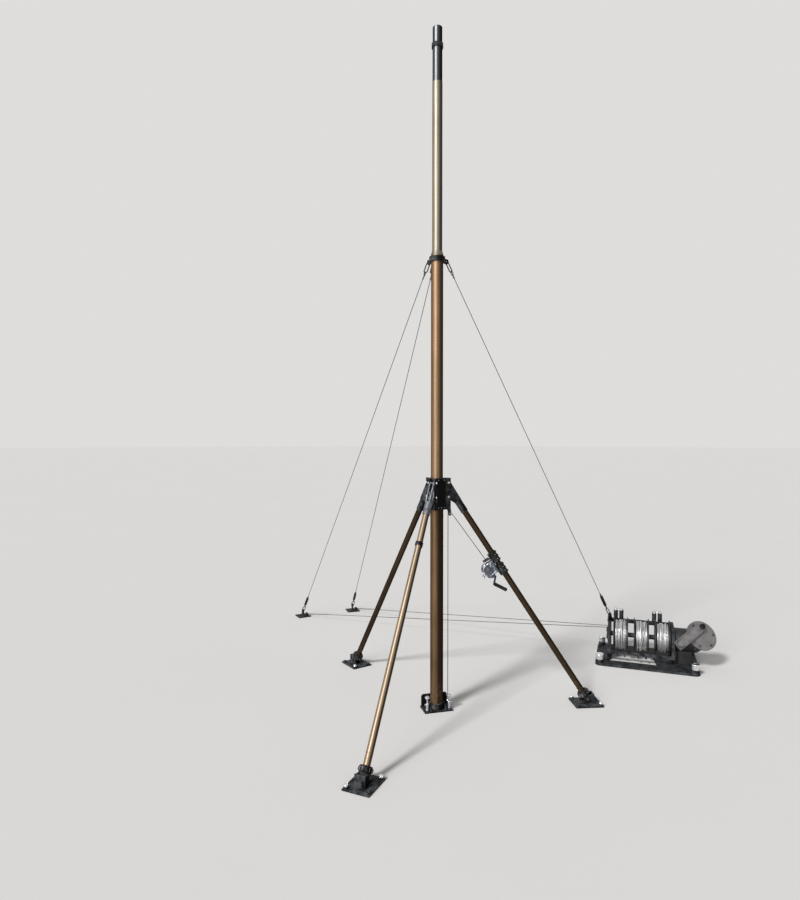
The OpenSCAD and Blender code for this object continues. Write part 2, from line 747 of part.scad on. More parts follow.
module stay(top, low) {
    pull = (low - top) / norm(low - top);
    l = norm(low - top) - 2 * link_hang;
    body_r = strainer_d / 2;
    end_r = 5;
    taper = 8;
    end_l = 24;
    rope_r = stay_d / 2;
    low_z = l - link_l;
    high_z = low_z - strainer_l;
    color("dimgray") along(top + link_hang * pull, low) {
        stay_link();
        translate([0, 0, l - link_l]) stay_link();
        rotate_extrude($fn = 24) polygon([
            [0, link_l], [rope_r, link_l], [rope_r, high_z],
            [end_r, high_z + taper], [end_r, high_z + end_l],
            [body_r, high_z + end_l + taper], [body_r, low_z - end_l - taper], [end_r, low_z - end_l],
            [end_r, low_z], [0, low_z]]);
    }
}

// Ground anchors, each with an upright plate for its stay and a bollard for its ground rope
anchor_hole_z = 46;
anchor_t = 8;
anchor_plate_t = 7;
bollard_d = 24;
bollard_off = 38;
left_anchor = [anchor_r * cos(left_az), anchor_r * sin(left_az), 0];
back_anchor = [anchor_r * cos(back_az), anchor_r * sin(back_az), 0];
function flat_dir(a, b) = [b.x - a.x, b.y - a.y, 0] / norm([b.x - a.x, b.y - a.y]);

module ground_anchor(pos, stay_az, rope_dir) {
    color("dimgray") translate(pos) {
        rotate([0, 0, stay_az]) {
            difference() {
                union() {
                    translate([-anchor_l / 2, -anchor_l / 2, 0]) cube([anchor_l, anchor_l, anchor_plate_t]);
                    side_plate(anchor_t) polygon([[-34, 0], [34, 0], [9, anchor_h], [-9, anchor_h]]);
                }
                translate([0, 0, anchor_hole_z]) cross_bar(lug_hole_d, 3 * anchor_t);
            }
        }
        translate(bollard_off * rope_dir) cylinder(d = bollard_d, h = bollard_h);
    }
}

module ground_rope(pos, rope_dir, end) {
    color("dimgray")
        rod(pos + (bollard_off + bollard_d / 2 + seat) * rope_dir + [0, 0, bollard_h - 8], end, stay_d);
}

rope_in = [cheek_l - stay_cheek_t - 2 * seat, 0, 220];
rope_half_gap = 24;
rope_left_end = at_winch(rope_in + [0, -rope_half_gap, 0]);
rope_back_end = at_winch(rope_in + [0, rope_half_gap, 0]);
left_dir = flat_dir(left_anchor, rope_left_end);
back_dir = flat_dir(back_anchor, rope_back_end);
left_hole = left_anchor + [0, 0, anchor_hole_z];
back_hole = back_anchor + [0, 0, anchor_hole_z];
winch_peg_in = 30;
winch_peg_d = 20;
module stay_winch_frame() {
    corner = 36;
    boss_d = 50;
    boss_h = 20;
    slot_l = -279;
    slot_front = -142;
    slot_back = 105;
    slot_r = [75, 42];
    cheek_front = -75;
    cheek_nose = -126;
    cheek_back = 150;
    eye_az = plan_az(right_hole, hole_at(link_az[2])) - winch_turn;
    eye_foot = cheek_h - eye_at.z - 6;
    color("dimgray") on_winch() {
        difference() {
            union() {
                linear_extrude(frame_t) rounded([[-frame_l / 2 + corner, -frame_w / 2 + corner],
                    [frame_l / 2 - corner, -frame_w / 2 + corner],
                    [frame_l / 2 - corner, frame_w / 2 - corner],
                    [-frame_l / 2 + corner, frame_w / 2 - corner]], [corner, corner, corner, corner]);
                for (x = [-1, 1]) for (y = [-1, 1])
                    translate([x * (frame_l / 2 - winch_peg_in), y * (frame_w / 2 - winch_peg_in), 0])
                        cylinder(d = boss_d, h = frame_t + boss_h);
            }
            translate([0, 0, -over]) linear_extrude(frame_t + 2 * over)
                polygon([[slot_l, slot_front], [slot_r[0], slot_front], [slot_r[1], slot_back],
                    [cheek_l + 7, slot_back], [cheek_l + 7, cheek_front]]);
            for (x = [-1, 1]) for (y = [-1, 1])
                translate([x * (frame_l / 2 - winch_peg_in), y * (frame_w / 2 - winch_peg_in), -over])
                    cylinder(d = winch_peg_d, h = frame_t + boss_h + 2 * over);
        }
        difference() {
            union() {
                for (x = [cheek_l - stay_cheek_t / 2, cheek_r + stay_cheek_t / 2])
                    translate([x, 0, 0]) rotate([0, 0, 90]) side_plate(stay_cheek_t)
                        polygon([[cheek_front, frame_t / 2], [cheek_back, frame_t / 2],
                            [cheek_back + 6, cheek_h - 12],
                            [cheek_back - 30, cheek_h], [cheek_front, cheek_h], [cheek_nose, cheek_h - 69],
                            [cheek_nose, frame_t + 44]]);
                translate(eye_at) rotate([0, 0, eye_az]) side_plate(stay_lug_t)
                    polygon([[-30, eye_foot], [24, eye_foot], [14, 10], [8, 16], [-8, 16], [-14, 10]]);
            }
            translate([0, 0, drum_z]) rotate([0, 90, 0])
                cylinder(d = axle_d + 2 * seat, h = frame_l, center = true);
            translate(eye_at) rotate([0, 0, eye_az]) cross_bar(lug_hole_d, 3 * stay_lug_t);
        }
    }
}

// Rope guides between the cheeks: a back bar with two pairs of rollers, and a low front bar
guide_y = 132;
guide_z = 222;
roller_at = [30, 70, 302, 342];
roller_h = 63;
module stay_winch_guides() {
    bar_l = cheek_r - cheek_l - 2 * seat;
    back_bar = [bar_l, 21, 27];
    front_bar = [bar_l, 15, 21];
    front_y = -123;
    front_z = 60;
    roller_d = 31;
    tooth = [12, 9, 30];
    tooth_at = [42, 93, 183, 237, 324];
    color("black") on_winch() translate([cheek_l + seat, 0, 0]) {
        translate([0, guide_y, guide_z]) cube(back_bar);
        translate([0, front_y, front_z]) cube(front_bar);
        for (x = roller_at) translate([x, guide_y + back_bar.y / 2, guide_z])
            cylinder(d = roller_d, h = back_bar.z + roller_h);
        for (x = tooth_at) translate([x, front_y + 3, front_z - tooth.z + 12]) cube(tooth);
    }
}

module stay_winch_drums() {
    hub_l = 9;
    color("silver") on_winch() translate([0, 0, drum_z]) rotate([0, 90, 0]) {
        translate([0, 0, cheek_l - stay_cheek_t - hub_l])
            cylinder(d = axle_d, h = cheek_r - cheek_l + 2 * stay_cheek_t + hub_l - 1);
        for (x = [-1, 0, 1]) translate([0, 0, drum_mid + x * drum_pitch]) {
            cylinder(d = stay_drum_d, h = winding_l, center = true);
            for (s = [-1, 1]) translate([0, 0, s * (winding_l + flange_t) / 2])
                cylinder(d = stay_flange_d, h = flange_t, center = true);
        }
    }
}

// Gearbox beside the drums: a round case, a foot, and a slanting neck with the crank's disc
disc_at = [360, -60, 231];
disc_az = -62;
disc_polar = 55;
disc_t = 15;
crank_up = 50;
stay_shaft_d = 24;
stay_shaft_in = 50;
module on_disc() {
    on_winch() translate(disc_at) rotate([0, disc_polar, disc_az]) children();
}

module stay_winch_gearbox() {
    case_d = 168;
    case_x = cheek_r + stay_cheek_t + seat;
    case_end = 318;
    neck_d = 156;
    neck_l = 135;
    foot = [96, 105, drum_z - frame_t];
    foot_x = 210;
    color("gray") difference() {
        union() {
            on_winch() {
                translate([case_x, 0, drum_z]) rotate([0, 90, 0])
                    cylinder(d = case_d, h = case_end - case_x);
                translate([foot_x, -foot.y / 2, frame_t + seat]) cube(foot);
            }
            on_disc() {
                translate([0, 0, -neck_l]) cylinder(d = neck_d, h = neck_l + 2);
                cylinder(d = disc_d, h = disc_t);
            }
        }
        on_disc() translate([-crank_up, 0, disc_t - stay_shaft_in - 2])
            cylinder(d = stay_shaft_d + 2 * run_gap, h = stay_shaft_in + 2 + over);
    }
}

module stay_winch_crank() {
    arm_off = 9;
    arm_t = 12;
    arm_r = 28;
    arm_in = arm_r - side_dip;
    arm_half = stay_crank_w / 2;
    arm_end = stay_crank_l + 14;
    rest_turn = -61;
    boss_d = 52;
    boss_h = 14;
    knob_d = 40;
    knob_h = 26;
    color("silver") on_disc() translate([-crank_up, 0, disc_t]) {
        translate([0, 0, -stay_shaft_in]) cylinder(d = stay_shaft_d, h = stay_shaft_in + arm_off + arm_t);
        rotate([0, 0, rest_turn]) {
            translate([0, 0, arm_off]) linear_extrude(arm_t) {
                circle(r = arm_r);
                polygon([[0, -arm_in], [stay_crank_l / 2, -arm_half], [arm_end, -arm_half],
                    [arm_end, arm_half], [stay_crank_l / 2, arm_half], [0, arm_in]]);
            }
            translate([0, 0, arm_off + arm_t]) cylinder(d = boss_d, h = boss_h);
            translate([stay_crank_l, 0, arm_off + arm_t]) cylinder(d = knob_d, h = knob_h);
        }
    }
}

base_plate();
base_cup();
base_spindle(-1);  // base_spindle_left
base_spindle(1);  // base_spindle_right
lower_tube();
middle_tube();
upper_tube();
top_spigot();
top_ring();
hub();
leg_head(RIGHT);  // leg_head_right
leg_head(LEFT);  // leg_head_left
leg_head(FRONT);  // leg_head_front
leg_tube(RIGHT);  // leg_tube_right
leg_tube(LEFT);  // leg_tube_left
leg_tube(FRONT);  // leg_tube_front
leg_foot(RIGHT);  // leg_foot_right
leg_foot(LEFT);  // leg_foot_left
leg_foot(FRONT);  // leg_foot_front
foot_plate(RIGHT);  // foot_plate_right
foot_plate(LEFT);  // foot_plate_left
foot_plate(FRONT);  // foot_plate_front
front_leg_clamp();
winch_clamps();
winch_frame();
winch_drum();
winch_crank();
sheave_bracket();
sheave();
lift_cable();
winch_cable();
stay_collar();
joint_cone();
stay(hole_at(link_az[0]), left_hole);  // stay_left
stay(hole_at(link_az[1]), back_hole);  // stay_back
stay(hole_at(link_az[2]), right_hole);  // stay_right
ground_anchor(left_anchor, plan_az(left_anchor, hole_at(link_az[0])), left_dir);  // anchor_left
ground_anchor(back_anchor, plan_az(back_anchor, hole_at(link_az[1])), back_dir);  // anchor_back
ground_rope(left_anchor, left_dir, rope_left_end);  // ground_rope_left
ground_rope(back_anchor, back_dir, rope_back_end);  // ground_rope_back
stay_winch_frame();
stay_winch_guides();
stay_winch_drums();
stay_winch_gearbox();
stay_winch_crank();
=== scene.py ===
"""Looks of the guyed radio mast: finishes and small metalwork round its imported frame, in metres."""

import random
from math import asin, atan2, ceil, cos, hypot, pi, radians, sin, sqrt

import bmesh
import bpy
from mathutils import Matrix, Vector


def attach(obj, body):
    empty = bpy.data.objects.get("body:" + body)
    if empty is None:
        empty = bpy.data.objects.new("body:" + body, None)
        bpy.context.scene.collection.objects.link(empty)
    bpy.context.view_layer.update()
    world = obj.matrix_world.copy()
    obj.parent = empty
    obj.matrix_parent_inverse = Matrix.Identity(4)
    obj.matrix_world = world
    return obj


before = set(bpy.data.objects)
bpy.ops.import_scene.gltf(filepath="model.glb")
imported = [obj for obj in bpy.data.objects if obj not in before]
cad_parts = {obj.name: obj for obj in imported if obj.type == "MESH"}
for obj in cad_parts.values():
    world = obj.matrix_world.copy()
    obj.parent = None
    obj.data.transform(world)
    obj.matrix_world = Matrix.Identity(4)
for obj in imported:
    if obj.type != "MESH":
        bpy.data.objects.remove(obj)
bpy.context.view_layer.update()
chance = random.Random(7)

# Sizes of the frame, in metres and degrees
LEG_AZ = {"right": 0, "left": 120, "front": 240}
PIVOT_R = 0.068
PIVOT_Z = 1.366
LOCK_DROP = 0.085
FOOT_R = 0.928
FOOT_PIVOT_Z = 0.038
LEG_OFFSET = 0.012
BOLT_END_Y = 0.0238
FOOT_BOLT_END_Y = 0.0345
FOOT_PEG_AT = (0.070, 0.056)
COLLAR_R = 0.035
COLLAR_LOW = 0.024
HUB_FACE_R = 0.0437
HUB_LOW_Z = 1.206
HUB_H = 0.188
WINCH_S = 0.574
WINCH_DROP = 0.074
WINCH_CHEEK_Y = 0.027
CLAMP_PITCH = 0.086
CLAMP_R = 0.0243
CRANK_AT = (-0.006, 0.093, -0.045)
CRANK_DIP = 27
CRANK_TURN = -45
CRANK_ARM = 0.056
GRIP_FROM = 0.058
GRIP_LEN = 0.084
BASE_TURN = 10
SPINDLE_X = 0.068
SPINDLE_Y = -0.030
SPINDLE_TOP = 0.094
CABLE_X = 0.0677
CABLE_LOW_Z = 0.0483
STAY_WINCH_R = 1.796
STAY_WINCH_AZ = 23
STAY_WINCH_TURN = -25
CORNER_PEG_AT = (0.315, 0.210)
CORNER_PEG_Z = 0.036
DRUM_Z = 0.172
DRUM_X = (-0.175, -0.033, 0.109)
WINDING_L = 0.090
WINDING_R = 0.093
ROLLER_X = (-0.2137, -0.1737, 0.0583, 0.0983)
ROLLER_Y = 0.1425
ROLLER_TOP = 0.312
DISC_T = 0.015
CRANK_UP = 0.050
STAY_ARM_TURN = -61
STAY_ARM_END = 0.244
STAY_ARM_W = 0.066
STAY_LINK_L = 0.064
STRAINER_L = 0.150
ROPE_R = 0.0042
ROPE_PITCH = 0.0086

# Modelling: points nearer than this are one, and a bend has a ring of points every so many degrees
WELD = 0.00001
BEND_STEP = 15

# Legs: how far they lean, and how long they are from pivot to foot
PIVOT_TO_FOOT = hypot(FOOT_R - PIVOT_R, PIVOT_Z - FOOT_PIVOT_Z)
LEG_LEAN = atan2(FOOT_R - PIVOT_R, PIVOT_Z - FOOT_PIVOT_Z) + asin(LEG_OFFSET / PIVOT_TO_FOOT)
LEG_LEN = sqrt(PIVOT_TO_FOOT**2 - LEG_OFFSET**2)
LOCK_AT = (LEG_OFFSET - LOCK_DROP * sin(LEG_LEAN), -LOCK_DROP * cos(LEG_LEAN))


# Places: each turns a piece modelled at the origin into its own spot on the mast
def moved(x, y, z):
    return Matrix.Translation((x, y, z))


def turned(angle, axis="Z"):
    return Matrix.Rotation(radians(angle), 4, axis)


def on_leg(side):
    """Beside a leg's pivot bolt: the tube runs down -Z, with +X outside."""
    lean = Matrix.Rotation(-LEG_LEAN, 4, "Y")
    return turned(LEG_AZ[side]) @ moved(PIVOT_R, 0, PIVOT_Z) @ lean @ moved(-LEG_OFFSET, 0, 0)


def on_foot(side):
    return turned(LEG_AZ[side]) @ moved(FOOT_R, 0, 0)


def on_drum():
    """The leg winch's drum: Y along its axle and Z up the leg."""
    return on_leg("right") @ moved(-WINCH_DROP, 0, -WINCH_S)


def on_crank():
    """The leg winch's crank: +Z out along its shaft and +X along its arm."""
    lean = Matrix.Rotation(LEG_LEAN, 4, "Y")
    return on_drum() @ moved(*CRANK_AT) @ lean @ turned(90 + CRANK_DIP, "Y") @ turned(CRANK_TURN)


def on_winch():
    """The stay winch: X along its drums, -Y its open front."""
    away = turned(STAY_WINCH_AZ) @ Vector((STAY_WINCH_R, 0, 0))
    return Matrix.Translation(away) @ turned(STAY_WINCH_TURN)


def on_disc():
    """The stay winch's disc: +Z out of its face."""
    return on_winch() @ moved(0.360, -0.060, 0.231) @ turned(-62) @ turned(55, "Y")


def on_stay_crank():
    """The stay winch's crank on its disc: +X along the arm."""
    return on_disc() @ moved(-CRANK_UP, 0, DISC_T) @ turned(STAY_ARM_TURN)


def across(y, sign):
    """Stands a piece on a face that looks along Y or against it."""
    return moved(0, sign * y, 0) @ turned(-90 * sign, "X")


def along(start, end):
    """A line's place: the origin at its start and +Z to its end."""
    line = Vector(end) - Vector(start)
    return Matrix.Translation(start) @ line.to_track_quat("Z", "Y").to_matrix().to_4x4()


def node_line(node):
    """A straight bar's two ends, from the node's own points."""
    points = [v.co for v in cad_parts[node].data.vertices]
    middle = sum(points, Vector()) / len(points)
    one = max(points, key=lambda p: (p - middle).length)
    other = max(points, key=lambda p: (p - one).length)
    reach = 0.02
    near_one = [p for p in points if (p - one).length < reach]
    near_other = [p for p in points if (p - other).length < reach]
    return sum(near_one, Vector()) / len(near_one), sum(near_other, Vector()) / len(near_other)


# Modelling: steps done as by hand on one piece at a time
def alone(piece):
    bpy.ops.object.select_all(action="DESELECT")
    piece.select_set(True)
    bpy.context.view_layer.objects.active = piece


def pick(kind, test):
    """In edit mode, selects the faces or edges that pass a test of their middle and themselves."""
    bpy.ops.mesh.select_mode(type=kind)
    bpy.ops.mesh.select_all(action="DESELECT")
    mesh = bpy.context.edit_object.data
    sketch = bmesh.from_edit_mesh(mesh)
    for part in list(sketch.faces if kind == "FACE" else sketch.edges):
        middle = sum((v.co for v in part.verts), Vector()) / len(part.verts)
        part.select_set(bool(test(middle, part)))
    sketch.select_flush_mode()
    bmesh.update_edit_mesh(mesh)


def face_outwards():
    """In edit mode, turns the faces of a closed shape outwards."""
    bpy.ops.mesh.select_all(action="SELECT")
    bpy.ops.mesh.normals_make_consistent(inside=False)
    sketch = bmesh.from_edit_mesh(bpy.context.edit_object.data)
    if sketch.calc_volume(signed=True) < 0:
        bpy.ops.mesh.flip_normals()


def turned_part(profile, sides=24):
    """A round part, built up from a filled circle by extruding and scaling its top ring after ring."""
    bpy.ops.object.select_all(action="DESELECT")
    radius, height = profile[0]
    bpy.ops.mesh.primitive_circle_add(vertices=sides, radius=radius, fill_type="NGON",
                                      location=(0, 0, height))
    part = bpy.context.active_object
    bpy.ops.object.transform_apply(location=True)
    bpy.ops.object.mode_set(mode="EDIT")
    bpy.ops.mesh.select_all(action="SELECT")
    for next_radius, next_height in profile[1:]:
        bpy.ops.mesh.extrude_region_move(TRANSFORM_OT_translate={"value": (0, 0, next_height - height)})
        share = next_radius / radius
        bpy.ops.transform.resize(value=(share, share, 1), center_override=(0, 0, next_height))
        radius, height = next_radius, next_height
    face_outwards()
    bpy.ops.object.mode_set(mode="OBJECT")
    return part


def block(size, edge=0.0, segments=2):
    """A block that stands on the origin, with its edges rounded."""
    bpy.ops.object.select_all(action="DESELECT")
    bpy.ops.mesh.primitive_cube_add(size=1, location=(0, 0, 0.5))
    part = bpy.context.active_object
    part.scale = size
    part.location = (0, 0, size[2] / 2)
    bpy.ops.object.transform_apply(location=True, scale=True)
    if edge:
        bpy.ops.object.mode_set(mode="EDIT")
        bpy.ops.mesh.select_all(action="SELECT")
        bpy.ops.mesh.bevel(offset=edge, segments=segments, affect="EDGES")
        bpy.ops.object.mode_set(mode="OBJECT")
    return part


def bent_bar(radius, start, heading, steps, sides=12):
    """A round bar: a disc that is pushed along straights and spun round bends."""
    bpy.ops.object.select_all(action="DESELECT")
    bpy.ops.mesh.primitive_circle_add(vertices=sides, radius=radius, fill_type="NGON")
    bar = bpy.context.active_object
    spot, way = Vector(start), Vector(heading).normalized()
    bar.matrix_world = Matrix.Translation(spot) @ way.to_track_quat("Z", "Y").to_matrix().to_4x4()
    bpy.ops.object.transform_apply(location=True, rotation=True)
    bpy.ops.object.mode_set(mode="EDIT")
    bpy.ops.mesh.select_all(action="SELECT")
    for step in steps:
        if len(step) == 1:
            bpy.ops.mesh.extrude_region_move(TRANSFORM_OT_translate={"value": way * step[0]})
            spot = spot + way * step[0]
            continue
        bend, degrees, axle = step
        axle = Vector(axle).normalized()
        side = axle.cross(way) * (1 if degrees > 0 else -1)
        middle = spot + side * bend
        bpy.ops.mesh.spin(steps=max(2, ceil(abs(degrees) / BEND_STEP)), angle=radians(degrees),
                          center=middle, axis=axle)
        turn = Matrix.Rotation(radians(degrees), 3, axle)
        spot, way = middle + turn @ (spot - middle), turn @ way
    bpy.ops.mesh.select_all(action="SELECT")
    bpy.ops.mesh.remove_doubles(threshold=WELD)
    face_outwards()
    bpy.ops.object.mode_set(mode="OBJECT")
    return bar


def wire_circle(radius, wire, sides):
    """The round of a wire or rope, upright beside the Z axis, ready to be spun or wound."""
    bpy.ops.object.select_all(action="DESELECT")
    bpy.ops.mesh.primitive_circle_add(vertices=sides, radius=wire, location=(radius, 0, 0),
                                      rotation=(pi / 2, 0, 0))
    bpy.ops.object.transform_apply(location=True, rotation=True)
    return bpy.context.active_object


def hoop(radius, wire, sides=10, rounds=32):
    """A closed ring of wire: its round, spun once about the Z axis."""
    ring = wire_circle(radius, wire, sides)
    bpy.ops.object.mode_set(mode="EDIT")
    bpy.ops.mesh.select_all(action="SELECT")
    bpy.ops.mesh.spin(steps=rounds, angle=2 * pi, center=(0, 0, 0), axis=(0, 0, 1))
    bpy.ops.mesh.select_all(action="SELECT")
    bpy.ops.mesh.remove_doubles(threshold=WELD)
    face_outwards()
    bpy.ops.object.mode_set(mode="OBJECT")
    return ring


def wind(coil, turns, pitch, steps):
    """Winds a wire's round up along the Z axis and closes both ends."""
    screw = coil.modifiers.new("turns", "SCREW")
    screw.axis = "Z"
    screw.angle = 2 * pi
    screw.iterations = turns
    screw.screw_offset = pitch
    screw.steps = steps
    screw.render_steps = steps
    screw.use_merge_vertices = False
    alone(coil)
    bpy.ops.object.modifier_apply(modifier=screw.name)
    bpy.ops.object.mode_set(mode="EDIT")
    bpy.ops.mesh.select_all(action="SELECT")
    bpy.ops.mesh.remove_doubles(threshold=WELD)
    pick("EDGE", lambda middle, edge: edge.is_boundary)
    bpy.ops.mesh.fill()
    face_outwards()
    bpy.ops.object.mode_set(mode="OBJECT")


def copies(model, places):
    """Copies of one model, each with a mesh of its own, and the model itself cleared away."""
    parts = []
    for place in places:
        part = model.copy()
        part.data = model.data.copy()
        part.data.transform(place)
        bpy.context.scene.collection.objects.link(part)
        parts.append(part)
    bpy.data.objects.remove(model)
    return parts


def joined(parts):
    bpy.ops.object.select_all(action="DESELECT")
    for part in parts:
        part.select_set(True)
    bpy.context.view_layer.objects.active = parts[0]
    if len(parts) > 1:
        bpy.ops.object.join()
    return parts[0]


def piece(name, parts, finish, slot, body="mast", crease=32):
    """Joins parts into one named piece, which takes its finish and rides with its body."""
    whole = joined(parts)
    whole.name = name
    whole.data.name = name
    whole.data.materials.clear()
    whole.data.materials.append(finish)
    bpy.ops.object.transform_apply(location=True, rotation=True, scale=True)
    bpy.ops.object.shade_smooth_by_angle(angle=radians(crease))
    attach(whole, body)


# Finishes
class Finish:
    """A material that is put together node by node, on Object coordinates."""

    def __init__(self, name, colour, metallic, roughness, specular=0.5, rim=None):
        self.material = bpy.data.materials.new(name)
        self.material.use_nodes = True
        self.nodes = self.material.node_tree.nodes
        self.links = self.material.node_tree.links
        self.shader = self.nodes["Principled BSDF"]
        self.shader.inputs["Base Color"].default_value = (*colour, 1)
        self.shader.inputs["Metallic"].default_value = metallic
        self.shader.inputs["Roughness"].default_value = roughness
        self.shader.inputs["Specular IOR Level"].default_value = specular
        if rim:
            self.shader.inputs["Specular Tint"].default_value = (*rim, 1)
        coordinates = self.add("ShaderNodeTexCoord")
        self.spot = coordinates.outputs["Object"]
        self.facing = coordinates.outputs["Normal"]

    def add(self, kind, values=None, **settings):
        node = self.nodes.new(kind)
        for setting, value in settings.items():
            setattr(node, setting, value)
        for socket, value in (values or {}).items():
            if isinstance(value, bpy.types.NodeSocket):
                self.links.new(value, node.inputs[socket])
            else:
                node.inputs[socket].default_value = value
        return node

    def sums(self, operation, first, second=0.0, third=0.0):
        return self.add("ShaderNodeMath", {0: first, 1: second, 2: third}, operation=operation).outputs[0]

    def local(self, place, scale=(1, 1, 1)):
        """Object coordinates seen from a place, so that a pattern follows its piece."""
        where, turn, _ = place.decompose()
        values = {"Vector": self.spot, "Location": where, "Rotation": turn.to_euler(), "Scale": scale}
        return self.add("ShaderNodeMapping", values, vector_type="TEXTURE").outputs[0]

    def toward(self, way):
        """How far a surface faces one way: 1 full on, 0 across it."""
        return self.dot(self.facing, way)

    def dot(self, first, second):
        node = self.add("ShaderNodeVectorMath", {0: first, 1: second}, operation="DOT_PRODUCT")
        return node.outputs["Value"]

    def parts_of(self, vector):
        return self.add("ShaderNodeSeparateXYZ", {0: vector}).outputs

    def noise(self, scale, detail=4, vector=None, roughness=0.5):
        values = {"Vector": vector or self.spot, "Scale": scale, "Detail": detail, "Roughness": roughness}
        return self.add("ShaderNodeTexNoise", values).outputs["Fac"]

    def fade(self, value, low, high, start=0.0, end=1.0):
        """Goes from start to end as a value goes from low to high."""
        values = {"Value": value, "From Min": low, "From Max": high, "To Min": start, "To Max": end}
        return self.add("ShaderNodeMapRange", values, interpolation_type="SMOOTHSTEP").outputs[0]

    def blend(self, share, first, second):
        """Mixes two colours, each a socket or a triple."""
        mix = self.add("ShaderNodeMix", data_type="RGBA")
        for index, value in ((0, share), (6, first), (7, second)):
            if isinstance(value, bpy.types.NodeSocket):
                self.links.new(value, mix.inputs[index])
            else:
                mix.inputs[index].default_value = value if index == 0 else (*value, 1)
        return mix.outputs[2]

    def feed(self, socket, value):
        self.links.new(value, self.shader.inputs[socket])

    def bump(self, height, strength, distance, under=None):
        values = {"Height": height, "Strength": strength, "Distance": distance}
        if under:
            values["Normal"] = under
        return self.add("ShaderNodeBump", values).outputs[0]

    def rounded_edges(self, radius):
        return self.add("ShaderNodeBevel", {"Radius": radius}, samples=4).outputs[0]


# Dust, a place that is the origin, the side that is painted in shade, and the side that is painted lit by
# the key lamp
SAND = (0.36, 0.26, 0.17)
UPRIGHT = Matrix.Identity(4)
PAINTED_SHADE_SIDE = (0.866, -0.500, 0.0)
PAINTED_LIGHT_SIDE = (-0.743, -0.669, 0.0)


def tube_paint(name, place, light, dark, painted_shade, shine=0.44, painted_shade_from=0.58):
    """Satin bronze coat on a tube: long streaks, painted shade darkening one side, and dust near the ground.
    """
    coat = Finish(name, light, 0.85, shine, rim=tuple(1.6 * c for c in dark))
    streaks = coat.noise(1.0, 5, coat.local(place, (0.010, 0.010, 0.45)))
    clouds = coat.noise(5.0, 4)
    shade = coat.sums("MULTIPLY_ADD", streaks, 0.65, coat.sums("MULTIPLY", clouds, 0.35))
    colour = coat.blend(coat.fade(shade, 0.36, 0.62), dark, light)
    # Painted shade: the side that faces this way is darkened toward the shade tone
    away = coat.toward(PAINTED_SHADE_SIDE)
    shadow_side = coat.fade(coat.sums("MULTIPLY_ADD", streaks, 0.16, away), painted_shade_from, painted_shade_from + 0.40)
    colour = coat.blend(shadow_side, colour, painted_shade)
    height = coat.parts_of(coat.spot)[2]
    patches = coat.fade(coat.noise(45.0, 6), 0.40, 0.72)
    dust = coat.sums("MULTIPLY", coat.fade(height, 0.20, 0.03, 0.0, 0.30), patches)
    coat.feed("Base Color", coat.blend(dust, colour, SAND))
    coat.feed("Metallic", coat.fade(dust, 0.0, 0.5, 0.85, 0.25))
    rough = coat.sums("MULTIPLY_ADD", clouds, 0.10, shine - 0.05)
    coat.feed("Roughness", coat.sums("MULTIPLY_ADD", dust, 0.5, rough))
    coat.feed("Normal", coat.bump(coat.noise(500.0, 2), 0.05, 0.0005))
    return coat.material


def black_coat(name, colour=(0.0022, 0.0020, 0.0018), shine=0.46, worn=0.34, pale=(0.19, 0.20, 0.215),
               dust_and_sheen=0.20, rubbed=0.75):
    """Satin black coat: pebbled skin, paler edges that are partly rubbed and partly painted highlights, a
    film of dust and painted sky reflection on what faces up, and painted light on the side toward the key
    lamp.
    """
    coat = Finish(name, colour, 0.0, shine, 0.05)
    clouds = coat.noise(14.0, 4)
    tone = coat.blend(clouds, colour, tuple(2.2 * c for c in colour))
    scuffs = coat.fade(coat.noise(150.0, 8, roughness=0.7), 0.63, 0.72, 0.0, worn)
    tone = coat.blend(scuffs, tone, (0.13, 0.13, 0.14))
    patches = coat.fade(coat.noise(30.0, 6), 0.30, 0.70)
    # Faces that look up take a pale film, partly dust and partly painted sky reflection; faces toward the
    # key lamp take painted light
    up = coat.fade(coat.parts_of(coat.facing)[2], 0.55, 1.0, 0.0, dust_and_sheen)
    painted_sunlit_side = coat.fade(coat.toward(PAINTED_LIGHT_SIDE), 0.45, 0.95, 0.0, 0.30)
    film = coat.sums("MULTIPLY", coat.sums("ADD", up, painted_sunlit_side), patches)
    # Edges go pale, partly rubbed paint and partly painted edge highlights
    rim = coat.rounded_edges(0.0016)
    flat = coat.add("ShaderNodeNewGeometry").outputs["Normal"]
    edges = coat.fade(coat.dot(rim, flat), 0.985, 0.86, 0.0, rubbed)
    edges = coat.sums("MULTIPLY", edges, coat.fade(patches, 0.0, 1.0, 0.4, 1.0))
    tone = coat.blend(coat.sums("MINIMUM", coat.sums("ADD", film, edges), 0.9), tone, pale)
    coat.feed("Base Color", tone)
    coat.feed("Roughness", coat.sums("MULTIPLY_ADD", clouds, 0.22, shine - 0.08))
    coat.feed("Normal", coat.bump(coat.noise(700.0, 3), 0.14, 0.0008, coat.rounded_edges(0.0009)))
    return coat.material


def zinc_plate(name, light=(0.66, 0.68, 0.72), dark=(0.33, 0.35, 0.40), shine=0.16):
    """Bright zinc with a faint spangle and dull smears."""
    plate = Finish(name, light, 1.0, shine)
    spangle = plate.add("ShaderNodeTexVoronoi", {"Vector": plate.spot, "Scale": 130.0}).outputs["Color"]
    cell = plate.add("ShaderNodeSeparateColor", {0: spangle}).outputs[0]
    smear = plate.noise(40.0, 5)
    share = plate.sums("MULTIPLY_ADD", cell, 0.35, plate.fade(smear, 0.35, 0.8, 0.0, 0.6))
    plate.feed("Base Color", plate.blend(share, light, dark))
    rough = plate.sums("MULTIPLY_ADD", cell, 0.06, shine - 0.02)
    plate.feed("Roughness", plate.sums("MULTIPLY_ADD", smear, 0.22, rough))
    plate.feed("Normal", plate.bump(plate.noise(500.0, 3), 0.06, 0.0006, plate.rounded_edges(0.0008)))
    return plate.material


